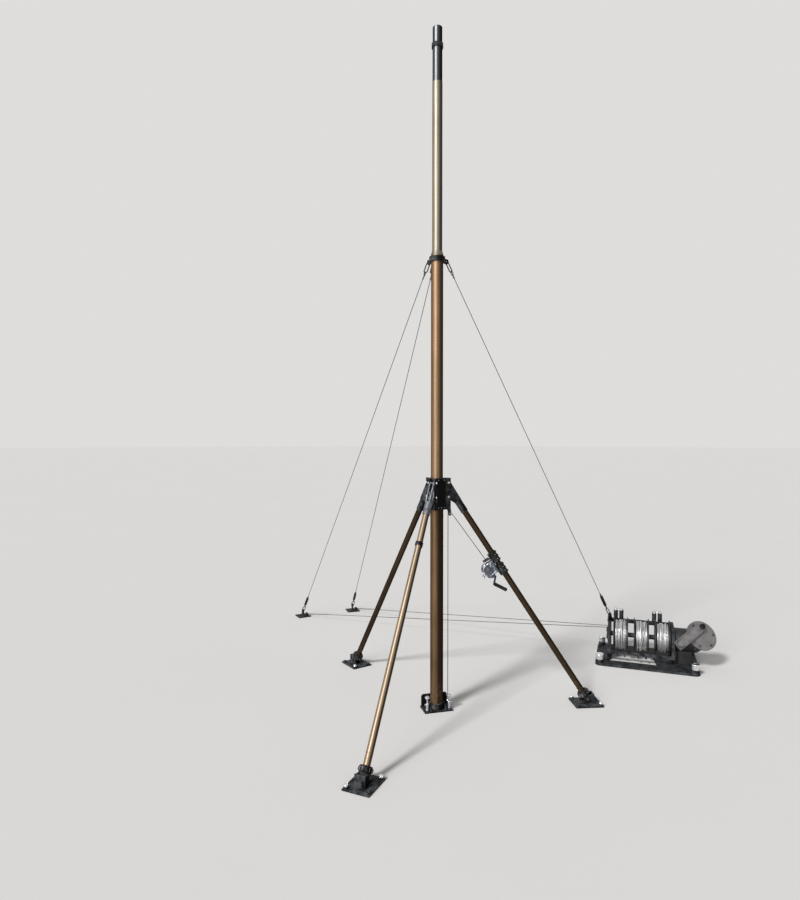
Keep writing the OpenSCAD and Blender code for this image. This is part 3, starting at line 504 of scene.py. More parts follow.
def bare_metal():
    """Turned bare metal of the mast's end: fine rings, small handling marks and painted shade on one side.
    """
    metal = Finish("bare metal", (0.12, 0.125, 0.13), 1.0, 0.34, rim=(0.10, 0.10, 0.10))
    rings = metal.noise(1.0, 3, metal.local(UPRIGHT, (0.4, 0.4, 0.0011)))
    marks = metal.fade(metal.noise(90.0, 7, roughness=0.65), 0.58, 0.72)
    tone = metal.blend(rings, (0.090, 0.095, 0.103), (0.15, 0.155, 0.162))
    # Painted shade: the side toward the painted shade direction goes darker
    tone = metal.blend(metal.fade(metal.toward(PAINTED_SHADE_SIDE), 0.20, 0.90), tone, (0.022, 0.021, 0.020))
    metal.feed("Base Color", metal.blend(metal.sums("MULTIPLY", marks, 0.5), tone, (0.045, 0.045, 0.05)))
    rough = metal.sums("MULTIPLY_ADD", rings, 0.14, 0.28)
    metal.feed("Roughness", metal.sums("MULTIPLY_ADD", marks, 0.2, rough))
    metal.feed("Normal", metal.bump(rings, 0.12, 0.0004))
    return metal.material


def worn_metal(name, light, dark, shine=0.22):
    """Pale metal with darker handling."""
    metal = Finish(name, light, 1.0, shine)
    wear = metal.noise(70.0, 6)
    metal.feed("Base Color", metal.blend(metal.fade(wear, 0.4, 0.7), light, dark))
    metal.feed("Roughness", metal.sums("MULTIPLY_ADD", wear, 0.3, shine))
    metal.feed("Normal", metal.bump(wear, 0.1, 0.0005))
    return metal.material


def black_rubber():
    """Matte rubber with a dry bloom."""
    rubber = Finish("black rubber", (0.010, 0.010, 0.010), 0.0, 0.6, 0.25)
    bloom = rubber.noise(60.0, 6)
    tone = rubber.blend(rubber.fade(bloom, 0.4, 0.8), (0.008, 0.008, 0.008), (0.026, 0.025, 0.024))
    rubber.feed("Base Color", tone)
    rubber.feed("Roughness", rubber.sums("MULTIPLY_ADD", bloom, 0.25, 0.48))
    rubber.feed("Normal", rubber.bump(rubber.noise(1100.0, 2), 0.2, 0.0006, rubber.rounded_edges(0.0015)))
    return rubber.material


def wire_rope(name, start, end, light=(0.12, 0.112, 0.10), dark=(0.02, 0.018, 0.016), stay=False):
    """Six strands that wind round a straight rope. A stay's two links are bare and its strainer black."""
    rope = Finish(name, light, 0.8, 0.38)
    lay = 0.026
    x, y, z = rope.parts_of(rope.local(along(start, end)))
    around = rope.sums("MULTIPLY", rope.sums("ARCTAN2", y, x), 6.0)
    strands = rope.sums("SINE", rope.sums("MULTIPLY_ADD", z, 2 * pi * 6 / lay, around))
    ridge = rope.fade(strands, -1.0, 0.6)
    worn = rope.noise(60.0, 4)
    # Painted shade: the grooves between strands take the dark tone
    tone = rope.blend(ridge, dark, rope.blend(worn, dark, light))
    depth = ridge
    if stay:
        length = (Vector(end) - Vector(start)).length
        from_end = rope.sums("SUBTRACT", length, z)
        nearest = rope.sums("MINIMUM", z, from_end)
        link = rope.sums("LESS_THAN", nearest, STAY_LINK_L)
        strainer = rope.sums("LESS_THAN", from_end, STAY_LINK_L + STRAINER_L)
        bare = rope.blend(worn, (0.13, 0.115, 0.095), (0.035, 0.032, 0.028))
        tone = rope.blend(strainer, tone, rope.blend(worn, (0.010, 0.010, 0.010), (0.028, 0.028, 0.028)))
        tone = rope.blend(link, tone, bare)
        smooth = rope.sums("MAXIMUM", link, strainer)
        depth = rope.sums("MULTIPLY", ridge, rope.sums("SUBTRACT", 1.0, smooth))
    rope.feed("Base Color", tone)
    rope.feed("Roughness", rope.sums("MULTIPLY_ADD", worn, 0.3, 0.25))
    rope.feed("Normal", rope.bump(depth, 0.6, 0.0008))
    return rope.material


def wound_steel(name, place, radius):
    """Bright rope on a drum: strands slanting across each turn, brighter and duller turns."""
    rope = Finish(name, (0.70, 0.70, 0.71), 0.75, 0.3)
    x, y, z = rope.parts_of(rope.local(place))
    lay = 0.012
    around = rope.sums("MULTIPLY", rope.sums("ARCTAN2", z, y), round(2 * pi * radius / lay))
    strands = rope.sums("SINE", rope.sums("MULTIPLY_ADD", x, 2 * pi / lay, around))
    ridge = rope.fade(strands, -0.9, 0.3)
    turns = rope.noise(1.0, 3, rope.local(place, (0.006, 0.11, 0.11)))
    tone = rope.blend(rope.fade(turns, 0.38, 0.62), (0.97, 0.97, 0.98), (0.55, 0.55, 0.56))
    # Painted shade: the grooves between strands take a dark grey
    rope.feed("Base Color", rope.blend(ridge, (0.15, 0.147, 0.14), tone))
    rope.feed("Roughness", rope.sums("MULTIPLY_ADD", turns, 0.25, 0.16))
    rope.feed("Normal", rope.bump(ridge, 0.5, 0.0008))
    return rope.material


def drum_metal():
    """Black drum flanges round a dull steel core, told apart by their distance from the axle."""
    drum = Finish("drum metal", (0.02, 0.02, 0.022), 0.3, 0.4)
    _, y, z = drum.parts_of(drum.local(on_winch() @ moved(0, 0, DRUM_Z)))
    reach = drum.sums("SQRT", drum.sums("MULTIPLY_ADD", y, y, drum.sums("MULTIPLY", z, z)))
    flange = drum.fade(reach, WINDING_R - 0.001, WINDING_R + 0.001)
    wear = drum.noise(50.0, 6)
    coat = drum.blend(drum.fade(wear, 0.50, 0.8), (0.009, 0.009, 0.010), (0.045, 0.045, 0.048))
    drum.feed("Base Color", drum.blend(flange, (0.035, 0.034, 0.033), coat))
    drum.feed("Roughness", drum.sums("MULTIPLY_ADD", wear, 0.25, 0.30))
    drum.feed("Normal", drum.bump(drum.noise(600.0, 3), 0.1, 0.0006, drum.rounded_edges(0.0015)))
    return drum.material


def gearbox_cast():
    """Sandy black casting, with a grey face on the crank's disc."""
    cast = Finish("gearbox cast", (0.22, 0.215, 0.205), 0.3, 0.46, 0.3)
    out = cast.parts_of(cast.local(on_disc()))[2]
    disc = cast.sums("GREATER_THAN", out, -0.0005)
    clouds = cast.noise(18.0, 6)
    grey = cast.blend(cast.fade(clouds, 0.3, 0.75), (0.175, 0.166, 0.168), (0.120, 0.114, 0.116))
    black = cast.blend(clouds, (0.012, 0.012, 0.0125), (0.035, 0.035, 0.036))
    cast.feed("Base Color", cast.blend(disc, black, grey))
    cast.feed("Roughness", cast.sums("MULTIPLY_ADD", clouds, 0.25, 0.36))
    cast.feed("Normal", cast.bump(cast.noise(420.0, 4), 0.20, 0.0008, cast.rounded_edges(0.0018)))
    return cast.material


def grey_plate():
    """Light grey plate of the stay winch's crank, in cloudy tones, with its edges rounded in the shading."""
    plate = Finish("grey plate", (0.34, 0.335, 0.32), 0.6, 0.38, 0.4)
    clouds = plate.noise(25.0, 6)
    tone = plate.blend(plate.fade(clouds, 0.3, 0.75), (0.235, 0.228, 0.228), (0.150, 0.146, 0.146))
    plate.feed("Base Color", tone)
    plate.feed("Roughness", plate.sums("MULTIPLY_ADD", clouds, 0.25, 0.28))
    plate.feed("Normal", plate.bump(plate.noise(380.0, 4), 0.12, 0.0008, plate.rounded_edges(0.0015)))
    return plate.material


# Studio: pale floor, soft light and the photograph's camera
PICTURE = (800, 900)
FOCAL_PX = 642.0
EYE_AT = (-0.560, -3.796, 1.65)
LOOK_AZ = 84.9
PITCH = 1.34
SENSOR_MM = 36.0
PAPER = (0.74, 0.73, 0.715)
DISTANCE_TONE = (0.735, 0.725, 0.71)
FLOOR_R = 90
SIGHT_END = 200
ROOM_LIGHT = 0.32


def camera():
    data = bpy.data.cameras.new("camera")
    data.sensor_width = SENSOR_MM
    data.lens = FOCAL_PX * SENSOR_MM / max(PICTURE)
    data.clip_end = SIGHT_END
    eye = bpy.data.objects.new("camera", data)
    bpy.context.scene.collection.objects.link(eye)
    eye.location = EYE_AT
    eye.rotation_euler = (radians(90 - PITCH), 0, radians(LOOK_AZ - 90))
    bpy.context.scene.camera = eye


def floor():
    """A wide pale disc whose rim is out of sight."""
    bpy.ops.object.select_all(action="DESELECT")
    bpy.ops.mesh.primitive_circle_add(vertices=96, radius=FLOOR_R, fill_type="NGON")
    ground = bpy.context.active_object
    ground.name = "floor"
    paper = Finish("floor paper", PAPER, 0.0, 0.9, 0.1)
    paper.feed("Base Color", paper.blend(paper.noise(0.6, 3), PAPER, tuple(0.97 * c for c in PAPER)))
    ground.data.materials.append(paper.material)


def sky():
    """Pale for the eye and in reflections, and a plain level of soft light on everything."""
    world = bpy.data.worlds.new("soft room")
    bpy.context.scene.world = world
    world.use_nodes = True
    nodes, links = world.node_tree.nodes, world.node_tree.links
    soft = nodes["Background"]
    soft.inputs["Color"].default_value = (1, 1, 1, 1)
    soft.inputs["Strength"].default_value = ROOM_LIGHT
    seen = nodes.new("ShaderNodeBackground")
    seen.inputs["Color"].default_value = (*DISTANCE_TONE, 1)
    seen.inputs["Strength"].default_value = 1.0
    rays = nodes.new("ShaderNodeLightPath")
    either = rays.outputs["Is Camera Ray"]
    for ray in ("Is Glossy Ray", "Is Transmission Ray"):
        most = nodes.new("ShaderNodeMath")
        most.operation = "MAXIMUM"
        links.new(either, most.inputs[0])
        links.new(rays.outputs[ray], most.inputs[1])
        either = most.outputs[0]
    mix = nodes.new("ShaderNodeMixShader")
    links.new(either, mix.inputs[0])
    links.new(soft.outputs[0], mix.inputs[1])
    links.new(seen.outputs[0], mix.inputs[2])
    links.new(mix.outputs[0], nodes["World Output"].inputs["Surface"])


def sun(name, azimuth, elevation, strength, spread):
    """A soft lamp far away, in the direction that the azimuth and elevation give."""
    data = bpy.data.lights.new(name, "SUN")
    data.energy = strength
    data.angle = radians(spread)
    lamp = bpy.data.objects.new(name, data)
    bpy.context.scene.collection.objects.link(lamp)
    lamp.rotation_euler = (radians(90 - elevation), 0, radians(azimuth + 90))


bpy.context.scene.view_settings.view_transform = "Standard"
camera()
floor()
sky()
sun("key", 222, 40, 2.5, 10)
sun("low side light", 228, 10, 2.1, 34)

# Tube paints, each with its light and dark tones and the tone of its painted shade
# The legs' three tones are one bronze: paler on the front leg as painted light, darker on the left leg as
# painted shade
SHADED_BRONZE = ((0.064, 0.042, 0.026), (0.042, 0.027, 0.017), (0.012, 0.008, 0.0055))
BRONZE = ((0.062, 0.040, 0.024), (0.045, 0.029, 0.018), (0.020, 0.014, 0.009))
LIT_BRONZE = ((0.310, 0.236, 0.165), (0.215, 0.160, 0.110), (0.046, 0.032, 0.020))
COPPER = ((0.245, 0.158, 0.096), (0.170, 0.108, 0.062), (0.050, 0.032, 0.019))
UMBER = ((0.165, 0.103, 0.057), (0.095, 0.058, 0.031), (0.028, 0.018, 0.011))
CHAMPAGNE = ((0.29, 0.262, 0.210), (0.22, 0.195, 0.148), (0.060, 0.054, 0.043))

# Finishes of the frame's own pieces and of the small metalwork
black = black_coat("black coat")
zinc = zinc_plate("zinc plate")
bright = zinc_plate("bright fasteners", (0.88, 0.89, 0.91), (0.58, 0.59, 0.62), 0.12)
ratchet_metal = worn_metal("ratchet metal", (0.15, 0.158, 0.175), (0.05, 0.053, 0.06), 0.30)
nut_metal = worn_metal("nut metal", (0.60, 0.61, 0.62), (0.34, 0.35, 0.36), 0.25)
rim_metal = worn_metal("rubbed rims", (0.13, 0.135, 0.145), (0.04, 0.042, 0.046), 0.42)
dull_metal = worn_metal("dull screws", (0.22, 0.225, 0.235), (0.10, 0.10, 0.108), 0.36)
# The ribs' very pale edges are painted glints; the foot plates' and cup's pale edges and tops are painted
# highlights and sky reflection, partly wear and dust
rib_black = black_coat("rib black", worn=0.7, pale=(0.62, 0.61, 0.60), rubbed=0.95)
plate_black = black_coat("foot plate black", dust_and_sheen=0.42, rubbed=0.95)
cup_black = black_coat("cup black", pale=(0.34, 0.33, 0.32), dust_and_sheen=0.5, rubbed=0.95)
strong_black = black_coat("winch black", (0.0060, 0.0062, 0.0068), 0.46, 0.24, (0.17, 0.18, 0.195))
blue_steel = worn_metal("blue grey steel", (0.165, 0.19, 0.235), (0.065, 0.073, 0.088), 0.34)
dark_steel = worn_metal("dark steel", (0.040, 0.048, 0.062), (0.018, 0.021, 0.027), 0.36)
rubber = black_rubber()
grey_screw = worn_metal("grey screws", (0.12, 0.116, 0.116), (0.05, 0.05, 0.05), 0.34)
grey_lips = grey_plate()
# The front leg's tones are painted lit, and the left leg's are painted in shade
leg_lit_and_shaded_bronze = {"right": BRONZE, "left": SHADED_BRONZE, "front": LIT_BRONZE}
leg_paint = {side: tube_paint(f"{side} leg paint", on_leg(side), *tones)
             for side, tones in leg_lit_and_shaded_bronze.items()}


def finish_node(node, material):
    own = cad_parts[node].data.materials
    own.clear()
    own.append(material)


def finish_frame():
    # The lower tube's painted shade starts nearer its lit side and covers more of it
    finish_node("lower_tube", tube_paint("lower tube paint", UPRIGHT, *UMBER, painted_shade_from=0.34))
    finish_node("middle_tube", tube_paint("middle tube paint", UPRIGHT, *COPPER))
    finish_node("upper_tube", tube_paint("upper tube paint", UPRIGHT, *CHAMPAGNE))
    for side, paint in leg_paint.items():
        finish_node(f"leg_tube_{side}", paint)
    for node in ("base_plate", "hub", "leg_head_right", "leg_head_left", "leg_foot_right", "leg_foot_left",
                 "leg_foot_front", "front_leg_clamp", "winch_clamps", "sheave_bracket", "stay_collar",
                 "anchor_left", "anchor_back"):
        finish_node(node, black)
    for node in ("foot_plate_right", "foot_plate_left", "foot_plate_front"):
        finish_node(node, plate_black)
    finish_node("base_cup", cup_black)
    for node in ("stay_winch_frame", "stay_winch_guides"):
        finish_node(node, strong_black)
    for node in ("base_spindle_left", "base_spindle_right", "winch_drum", "sheave"):
        finish_node(node, zinc)
    finish_node("winch_frame", blue_steel)
    finish_node("winch_crank", dark_steel)
    # The front leg's head takes a paler grey than the other two heads, which are black: painted light on the
    # lit one of three like heads
    finish_node("leg_head_front", worn_metal("paler front head", (0.17, 0.178, 0.195), (0.07, 0.073, 0.082), 0.42))
    finish_node("top_spigot", bare_metal())
    finish_node("joint_cone", worn_metal("cone metal", (0.19, 0.172, 0.145), (0.09, 0.081, 0.068), 0.38))
    finish_node("top_ring", rubber)
    finish_node("stay_winch_drums", drum_metal())
    finish_node("stay_winch_gearbox", gearbox_cast())
    finish_node("stay_winch_crank", grey_plate())
    for node in ("lift_cable", "winch_cable", "ground_rope_left", "ground_rope_back"):
        finish_node(node, wire_rope(node.replace("_", " "), *node_line(node)))
    for node in ("stay_left", "stay_back", "stay_right"):
        high, low = sorted(node_line(node), key=lambda p: -p.z)
        finish_node(node, wire_rope(node.replace("_", " "), high, low, stay=True))


finish_frame()
rope_bright = {x: wound_steel(f"wound rope {i}", on_winch() @ moved(x, 0, DRUM_Z), WINDING_R)
               for i, x in enumerate(DRUM_X)}
cable_bright = wound_steel("winch cable turns", on_drum() @ turned(90), 0.020)


# Small metalwork
def ground_pegs():
    """Bright pegs in two corners of each foot plate."""
    profile = [(0.0062, 0.0), (0.0062, 0.0163), (0.0108, 0.0163), (0.0118, 0.0176), (0.0118, 0.0238),
               (0.0102, 0.0262), (0.0066, 0.0270), (0.0060, 0.0258), (0.0030, 0.0258)]
    x, y = FOOT_PEG_AT
    for side in LEG_AZ:
        places = [on_foot(side) @ moved(x, -y, 0), on_foot(side) @ moved(-x, y, 0)]
        piece(f"ground_pegs_{side}", copies(turned_part(profile, 20), places), bright, "zinc")


def hex_nut(across_corners, height, stud_r, stud_out):
    """A hexagon nut with chamfered corners, on the end of its bolt."""
    r = across_corners / 2
    nut = turned_part([(0.94 * r, 0), (r, 0.12 * height), (r, 0.85 * height), (0.90 * r, height)], 6)
    tip, chamfer = height + stud_out, 0.0008
    stud = turned_part([(stud_r, 0), (stud_r, tip - chamfer), (stud_r - chamfer, tip)], 16)
    return joined([nut, stud])


def leg_nuts():
    """Nuts on both ends of each leg's pivot bolt, lock bolt and foot bolt."""
    for side in LEG_AZ:
        places = []
        for x, z in ((LEG_OFFSET, 0), LOCK_AT):
            places += [on_leg(side) @ moved(x, 0, z) @ across(BOLT_END_Y, s) for s in (1, -1)]
        nut = hex_nut(0.0140, 0.0046, 0.0034, 0.0020)
        piece(f"head_nuts_{side}", copies(nut, places), nut_metal, "zinc")
        places = [on_foot(side) @ moved(0, 0, FOOT_PIVOT_Z) @ across(FOOT_BOLT_END_Y, s) for s in (1, -1)]
        nut = hex_nut(0.0165, 0.0055, 0.0042, 0.0025)
        piece(f"foot_nuts_{side}", copies(nut, places), black, "black_paint")


def socket_ribs():
    """Upright ribs round the foot of each leg's lower socket."""
    ribs = 12
    for side in LEG_AZ:
        rib = block((0.0052, 0.0070, 0.016), 0.0012)
        foot = on_leg(side) @ moved(0, 0, COLLAR_LOW - LEG_LEN + 0.001)
        places = [foot @ turned(360 * n / ribs) @ moved(COLLAR_R + 0.0004, 0, 0) for n in range(ribs)]
        piece(f"socket_ribs_{side}", copies(rib, places), rib_black, "black_paint")


def hole_rims():
    """Rubbed rims round the empty peg holes of each foot plate."""
    x, y = FOOT_PEG_AT
    for side in LEG_AZ:
        high = hoop(0.0098, 0.0017, 8, 28)
        low = hoop(0.0088, 0.0014, 8, 28)
        parts = copies(high, [on_foot(side) @ moved(s * x, s * y, 0.0158) for s in (-1, 1)])
        parts += copies(low, [on_foot(side) @ moved(x, 0, 0.0080)])
        piece(f"hole_rims_{side}", parts, rim_metal, "black_paint")


def leg_bands():
    """Two rolled bands round each leg's tube, just above its lower socket."""
    for side in LEG_AZ:
        foot = on_leg(side) @ moved(0, 0, COLLAR_LOW - LEG_LEN)
        band = hoop(0.0181, 0.0011, 8, 40)
        piece(f"leg_bands_{side}", copies(band, [foot @ moved(0, 0, z) for z in (0.055, 0.082)]),
              leg_paint[side], "mast_paint")


def spindle_heads():
    """A cross pin and a knurled rim on each of the base's two spindles."""
    parts = []
    for s in (-1, 1):
        foot = turned(BASE_TURN) @ moved(s * SPINDLE_X, SPINDLE_Y, 0)
        pin = turned_part([(0.0026, -0.021), (0.0034, -0.020), (0.0034, 0.020), (0.0026, 0.021)], 12)
        cross = foot @ moved(0, 0, SPINDLE_TOP - 0.007) @ turned(90, "X") @ turned(30 * s, "Y")
        parts += copies(pin, [cross])
        rim = turned_part([(0.0122, 0), (0.0132, 0.0008), (0.0132, 0.0072), (0.0122, 0.0080)], 32)
        alone(rim)
        bpy.ops.object.mode_set(mode="EDIT")
        pick("FACE", lambda middle, face: abs(face.normal.z) < 0.1)
        bpy.ops.mesh.inset(thickness=0.0003, depth=0.0007, use_individual=True)
        bpy.ops.object.mode_set(mode="OBJECT")
        parts += copies(rim, [foot @ moved(0, 0, SPINDLE_TOP - 0.0105)])
    piece("spindle_heads", parts, bright, "zinc")


def cable_foot():
    """Ferrule and stop where the lift cable ends on the base's post."""
    end = moved(CABLE_X, 0, CABLE_LOW_Z)
    ferrule = turned_part([(0.0050, 0), (0.0058, 0.001), (0.0058, 0.006), (0.0045, 0.008),
                           (0.0045, 0.030), (0.0030, 0.034)], 16)
    nut = turned_part([(0.0085, 0), (0.0092, 0.0008), (0.0092, 0.0062), (0.0085, 0.007)], 6)
    piece("cable_foot", copies(ferrule, [end]) + copies(nut, [end]), zinc, "zinc")


def hub_screws():
    """Small screws along the lower and upper edges of the hub's three wide faces."""
    screw = turned_part([(0.0036, 0), (0.0041, 0.0005), (0.0041, 0.0016), (0.0034, 0.0022),
                         (0.0019, 0.0022), (0.0017, 0.0012)], 14)
    spots = [(-0.022, 0.012), (0, 0.012), (0.022, 0.012), (-0.022, HUB_H - 0.012), (0.022, HUB_H - 0.012)]
    places = []
    for az in (60, 180, 300):
        face = turned(az) @ moved(HUB_FACE_R, 0, HUB_LOW_Z) @ turned(90, "Y")
        places += [face @ moved(-z, across_face, 0) for across_face, z in spots]
    piece("hub_screws", copies(screw, places), dull_metal, "zinc")


def lock_pin():
    """Bright pull pin with a ring beside the front leg's lock bolt."""
    x, z = LOCK_AT
    start = on_leg("front") @ moved(x - 0.020, 0.020, z + 0.004)
    bar = bent_bar(0.0019, (0, 0, 0), (0, 0, -1), [(0.022,), (0.006, 60, (0, 1, 0)), (0.010,)], 10)
    ring = hoop(0.0052, 0.0008)
    parts = copies(bar, [start]) + copies(ring, [start @ moved(0, 0, 0.005) @ turned(90, "X")])
    piece("lock_pin", parts, dull_metal, "zinc")


def winch_ratchet():
    """Toothed wheel with its nut, on the near end of the leg winch's drum."""
    teeth = 18
    wheel = turned_part([(0.0205, 0), (0.0205, 0.0038)], 2 * teeth)
    alone(wheel)
    bpy.ops.object.mode_set(mode="EDIT")
    step = pi / teeth
    pick("FACE", lambda middle, face:
         abs(face.normal.z) < 0.1 and int(atan2(middle.y, middle.x) // step) % 2)
    bpy.ops.mesh.inset(thickness=0.0004, depth=0.0036, use_individual=True)
    bpy.ops.object.mode_set(mode="OBJECT")
    hub = turned_part([(0.0115, 0), (0.0115, 0.0058), (0.0105, 0.0066)], 24)
    out = on_drum() @ across(WINCH_CHEEK_Y + 0.0004, -1)
    parts = copies(wheel, [out]) + copies(hub, [out])
    parts += copies(hex_nut(0.0165, 0.005, 0.0045, 0.0028), [out @ moved(0, 0, 0.006)])
    piece("winch_ratchet", parts, ratchet_metal, "zinc", "winch_drum")


def winch_details():
    """Spacer bars with their nuts, strap plates, a pawl and its boss on the leg winch's frame."""
    drum = on_drum()
    gap = 2 * WINCH_CHEEK_Y
    parts = []
    for x, z in ((0.025, 0.0352), (0.025, -0.0352), (-0.0335, 0.0)):
        spacer = turned_part([(0.0030, 0), (0.0030, gap)], 14)
        parts += copies(spacer, [drum @ moved(x, -WINCH_CHEEK_Y, z) @ turned(-90, "X")])
        for s in (1, -1):
            nut = hex_nut(0.0130, 0.0040, 0.0030, 0.0020)
            parts += copies(nut, [drum @ moved(x, 0, z) @ across(WINCH_CHEEK_Y, s)])
    bar = block((0.044, gap + 0.006, 0.0052), 0.0010)
    parts += copies(bar, [drum @ moved(0.021, 0, z) for z in (0.0335, 0.0470)])
    pawl = block((0.007, 0.0032, 0.026), 0.0009)
    parts += copies(pawl, [drum @ moved(0.016, -WINCH_CHEEK_Y - 0.0022, 0.008) @ turned(28, "Y")])
    boss = turned_part([(0.0050, 0), (0.0050, 0.0050), (0.0042, 0.0058)], 16)
    parts += copies(boss, [drum @ moved(0.028, 0, 0.030) @ across(WINCH_CHEEK_Y, -1)])
    rim = hoop(0.0345, 0.0014, 8, 40)
    parts += copies(rim, [drum @ across(WINCH_CHEEK_Y + 0.0016, -1)])
    nut = hex_nut(0.0150, 0.0080, 0.0040, 0.0030)
    parts += copies(nut, [drum @ moved(0.030, 0, -0.030) @ across(WINCH_CHEEK_Y, -1)])
    piece("winch_details", parts, zinc, "zinc")


def winch_shadow_plate():
    """Black plate between the leg winch's cheeks, behind its bright straps: a dark sheet set where there is
    shade, painted shade.
    """
    plate = block((0.038, 2 * WINCH_CHEEK_Y - 0.010, 0.024), 0.0010)
    piece("winch_shadow_plate", copies(plate, [on_drum() @ moved(0.021, 0, 0.0315)]), black, "black_paint")


def winch_guard():
    """Bent wire that keeps the cable on the leg winch's drum."""
    run, bend, axle = 0.026, 0.010, (0.573, 0, -0.819)
    corner = (bend, 90, axle)
    guard = bent_bar(0.0018, (-0.030, -WINCH_CHEEK_Y + 0.002, -0.012), (-1, 0, -0.7),
                     [(run,), corner, (2 * WINCH_CHEEK_Y - 0.024,), corner, (run,)], 8)
    piece("winch_guard", copies(guard, [on_drum()]), ratchet_metal, "zinc")


def winch_turns():
    """The cable's turns on the leg winch's drum."""
    coil = wire_circle(0.0222, 0.0020, 8)
    wind(coil, 7, 0.0042, 24)
    coil.data.transform(on_drum() @ moved(0, 0.0147, 0) @ turned(90, "X"))
    piece("winch_turns", [coil], cable_bright, "cable_steel", "winch_drum")


def grip_sleeve():
    """Ribbed sleeve on the leg winch's crank."""
    ribs = 9
    profile = [(0.0092, 0.001), (0.0112, 0.002)]
    for n in range(ribs):
        z = 0.005 + n * (GRIP_LEN - 0.012) / ribs
        profile += [(0.0112, z), (0.0102, z + 0.0015), (0.0102, z + 0.0035), (0.0112, z + 0.0050)]
    profile += [(0.0112, GRIP_LEN - 0.003), (0.0095, GRIP_LEN + 0.0005), (0.0055, GRIP_LEN + 0.0015)]
    sleeve = copies(turned_part(profile, 20), [on_crank() @ moved(CRANK_ARM, 0, GRIP_FROM)])
    piece("grip_sleeve", sleeve, rubber, "ring_rubber", "winch_crank")


def clamp_screws():
    """Socket screws on the near side of the leg winch's two clamps."""
    screw = turned_part([(0.0042, 0), (0.0046, 0.0006), (0.0046, 0.0048), (0.0040, 0.0054),
                         (0.0022, 0.0054), (0.0020, 0.0030)], 14)
    places = []
    for s in (-1, 1):
        for z in (-0.014, 0.014):
            leg = on_leg("right") @ moved(0, 0, s * CLAMP_PITCH / 2 + z - WINCH_S)
            places += [leg @ turned(az) @ moved(CLAMP_R - 0.001, 0, 0) @ turned(90, "Y") for az in (-70, 70)]
    piece("clamp_screws", copies(screw, places), dull_metal, "zinc")


def rope_eyes():
    """A thimble in each stay's upper link, with its ferrule on the rope."""
    parts = []
    for node in ("stay_left", "stay_back", "stay_right"):
        high, low = sorted(node_line(node), key=lambda p: -p.z)
        line = along(high, low)
        thimble = hoop(0.0085, 0.0024, 8, 24)
        bpy.ops.object.mode_set(mode="EDIT")
        bpy.ops.mesh.select_all(action="SELECT")
        bpy.ops.transform.resize(value=(1, 1.5, 1), center_override=(0, 0, 0))
        bpy.ops.object.mode_set(mode="OBJECT")
        parts += copies(thimble, [line @ moved(0, 0, STAY_LINK_L + 0.004) @ turned(90, "Y") @ turned(90)])
        ferrule = turned_part([(0.0036, 0), (0.0046, 0.002), (0.0046, 0.020), (0.0036, 0.022)], 14)
        parts += copies(ferrule, [line @ moved(0, 0, STAY_LINK_L + 0.018)])
    piece("rope_eyes", parts, dull_metal, "zinc")


def corner_pegs():
    """Big bright pegs with knurled sides in the stay winch's four corners."""
    profile = [(0.0096, 0.0), (0.0096, CORNER_PEG_Z + 0.0003), (0.0205, CORNER_PEG_Z + 0.0003),
               (0.0225, 0.0385), (0.0225, 0.0660), (0.0280, 0.0675), (0.0292, 0.0690), (0.0292, 0.0755),
               (0.0270, 0.0785), (0.0130, 0.0798), (0.0110, 0.0780), (0.0050, 0.0780)]
    peg = turned_part(profile, 36)
    alone(peg)
    bpy.ops.object.mode_set(mode="EDIT")
    pick("FACE", lambda middle, face: abs(face.normal.z) < 0.1 and 0.045 < middle.z < 0.0655)
    bpy.ops.mesh.inset(thickness=0.0008, depth=0.0010, use_individual=True)
    bpy.ops.object.mode_set(mode="OBJECT")
    x, y = CORNER_PEG_AT
    places = [on_winch() @ moved(sx * x, sy * y, 0) for sx in (-1, 1) for sy in (-1, 1)]
    piece("corner_pegs", copies(peg, places), bright, "zinc")


def roller_caps():
    """Bright caps on the guide rollers, a plate across each pair, and a screw in each cap."""
    cap = turned_part([(0.0165, 0), (0.0180, 0.0014), (0.0180, 0.0120), (0.0160, 0.0145),
                       (0.0095, 0.0150), (0.0090, 0.0138)], 28)
    screw = turned_part([(0.0058, 0), (0.0058, 0.0052), (0.0050, 0.0060), (0.0030, 0.0060),
                         (0.0027, 0.0035)], 6)
    tops = [on_winch() @ moved(x, ROLLER_Y, ROLLER_TOP + 0.0002) for x in ROLLER_X]
    parts = copies(cap, tops)
    parts += copies(screw, [top @ moved(0, 0, 0.0140) for top in tops])
    plate = block((0.068, 0.024, 0.0065), 0.0016)
    middles = [(ROLLER_X[0] + ROLLER_X[1]) / 2, (ROLLER_X[2] + ROLLER_X[3]) / 2]
    parts += copies(plate, [on_winch() @ moved(x, ROLLER_Y, ROLLER_TOP + 0.0025) for x in middles])
    piece("roller_caps", parts, bright, "zinc")


def rope_turns():
    """Rope wound on each stay drum: a close layer, with loose turns lying over it."""
    turns = int((WINDING_L - 2 * ROPE_R) / ROPE_PITCH)
    for n, x in enumerate(DRUM_X):
        drum = on_winch() @ moved(x, 0, DRUM_Z) @ turned(90, "Y")
        layer = wire_circle(WINDING_R + 0.0022, ROPE_R, 8)
        wind(layer, turns, ROPE_PITCH, 40)
        layer.data.transform(drum @ moved(0, 0, -turns * ROPE_PITCH / 2))
        parts = [layer]
        for loose in range(7):
            lean = chance.uniform(-3.2, 3.2)
            room = WINDING_L / 2 - ROPE_R - 0.105 * abs(sin(radians(lean)))
            spot = chance.uniform(-room, room)
            lift = 0.0072 + 0.0006 * loose
            turn = hoop(WINDING_R + lift, ROPE_R, 8, 40)
            lay = drum @ moved(0, 0, spot) @ turned(chance.uniform(0, 180)) @ turned(lean, "X")
            parts += copies(turn, [lay])
        piece(f"rope_turns_{n + 1}", parts, rope_bright[x], "cable_steel", crease=60)


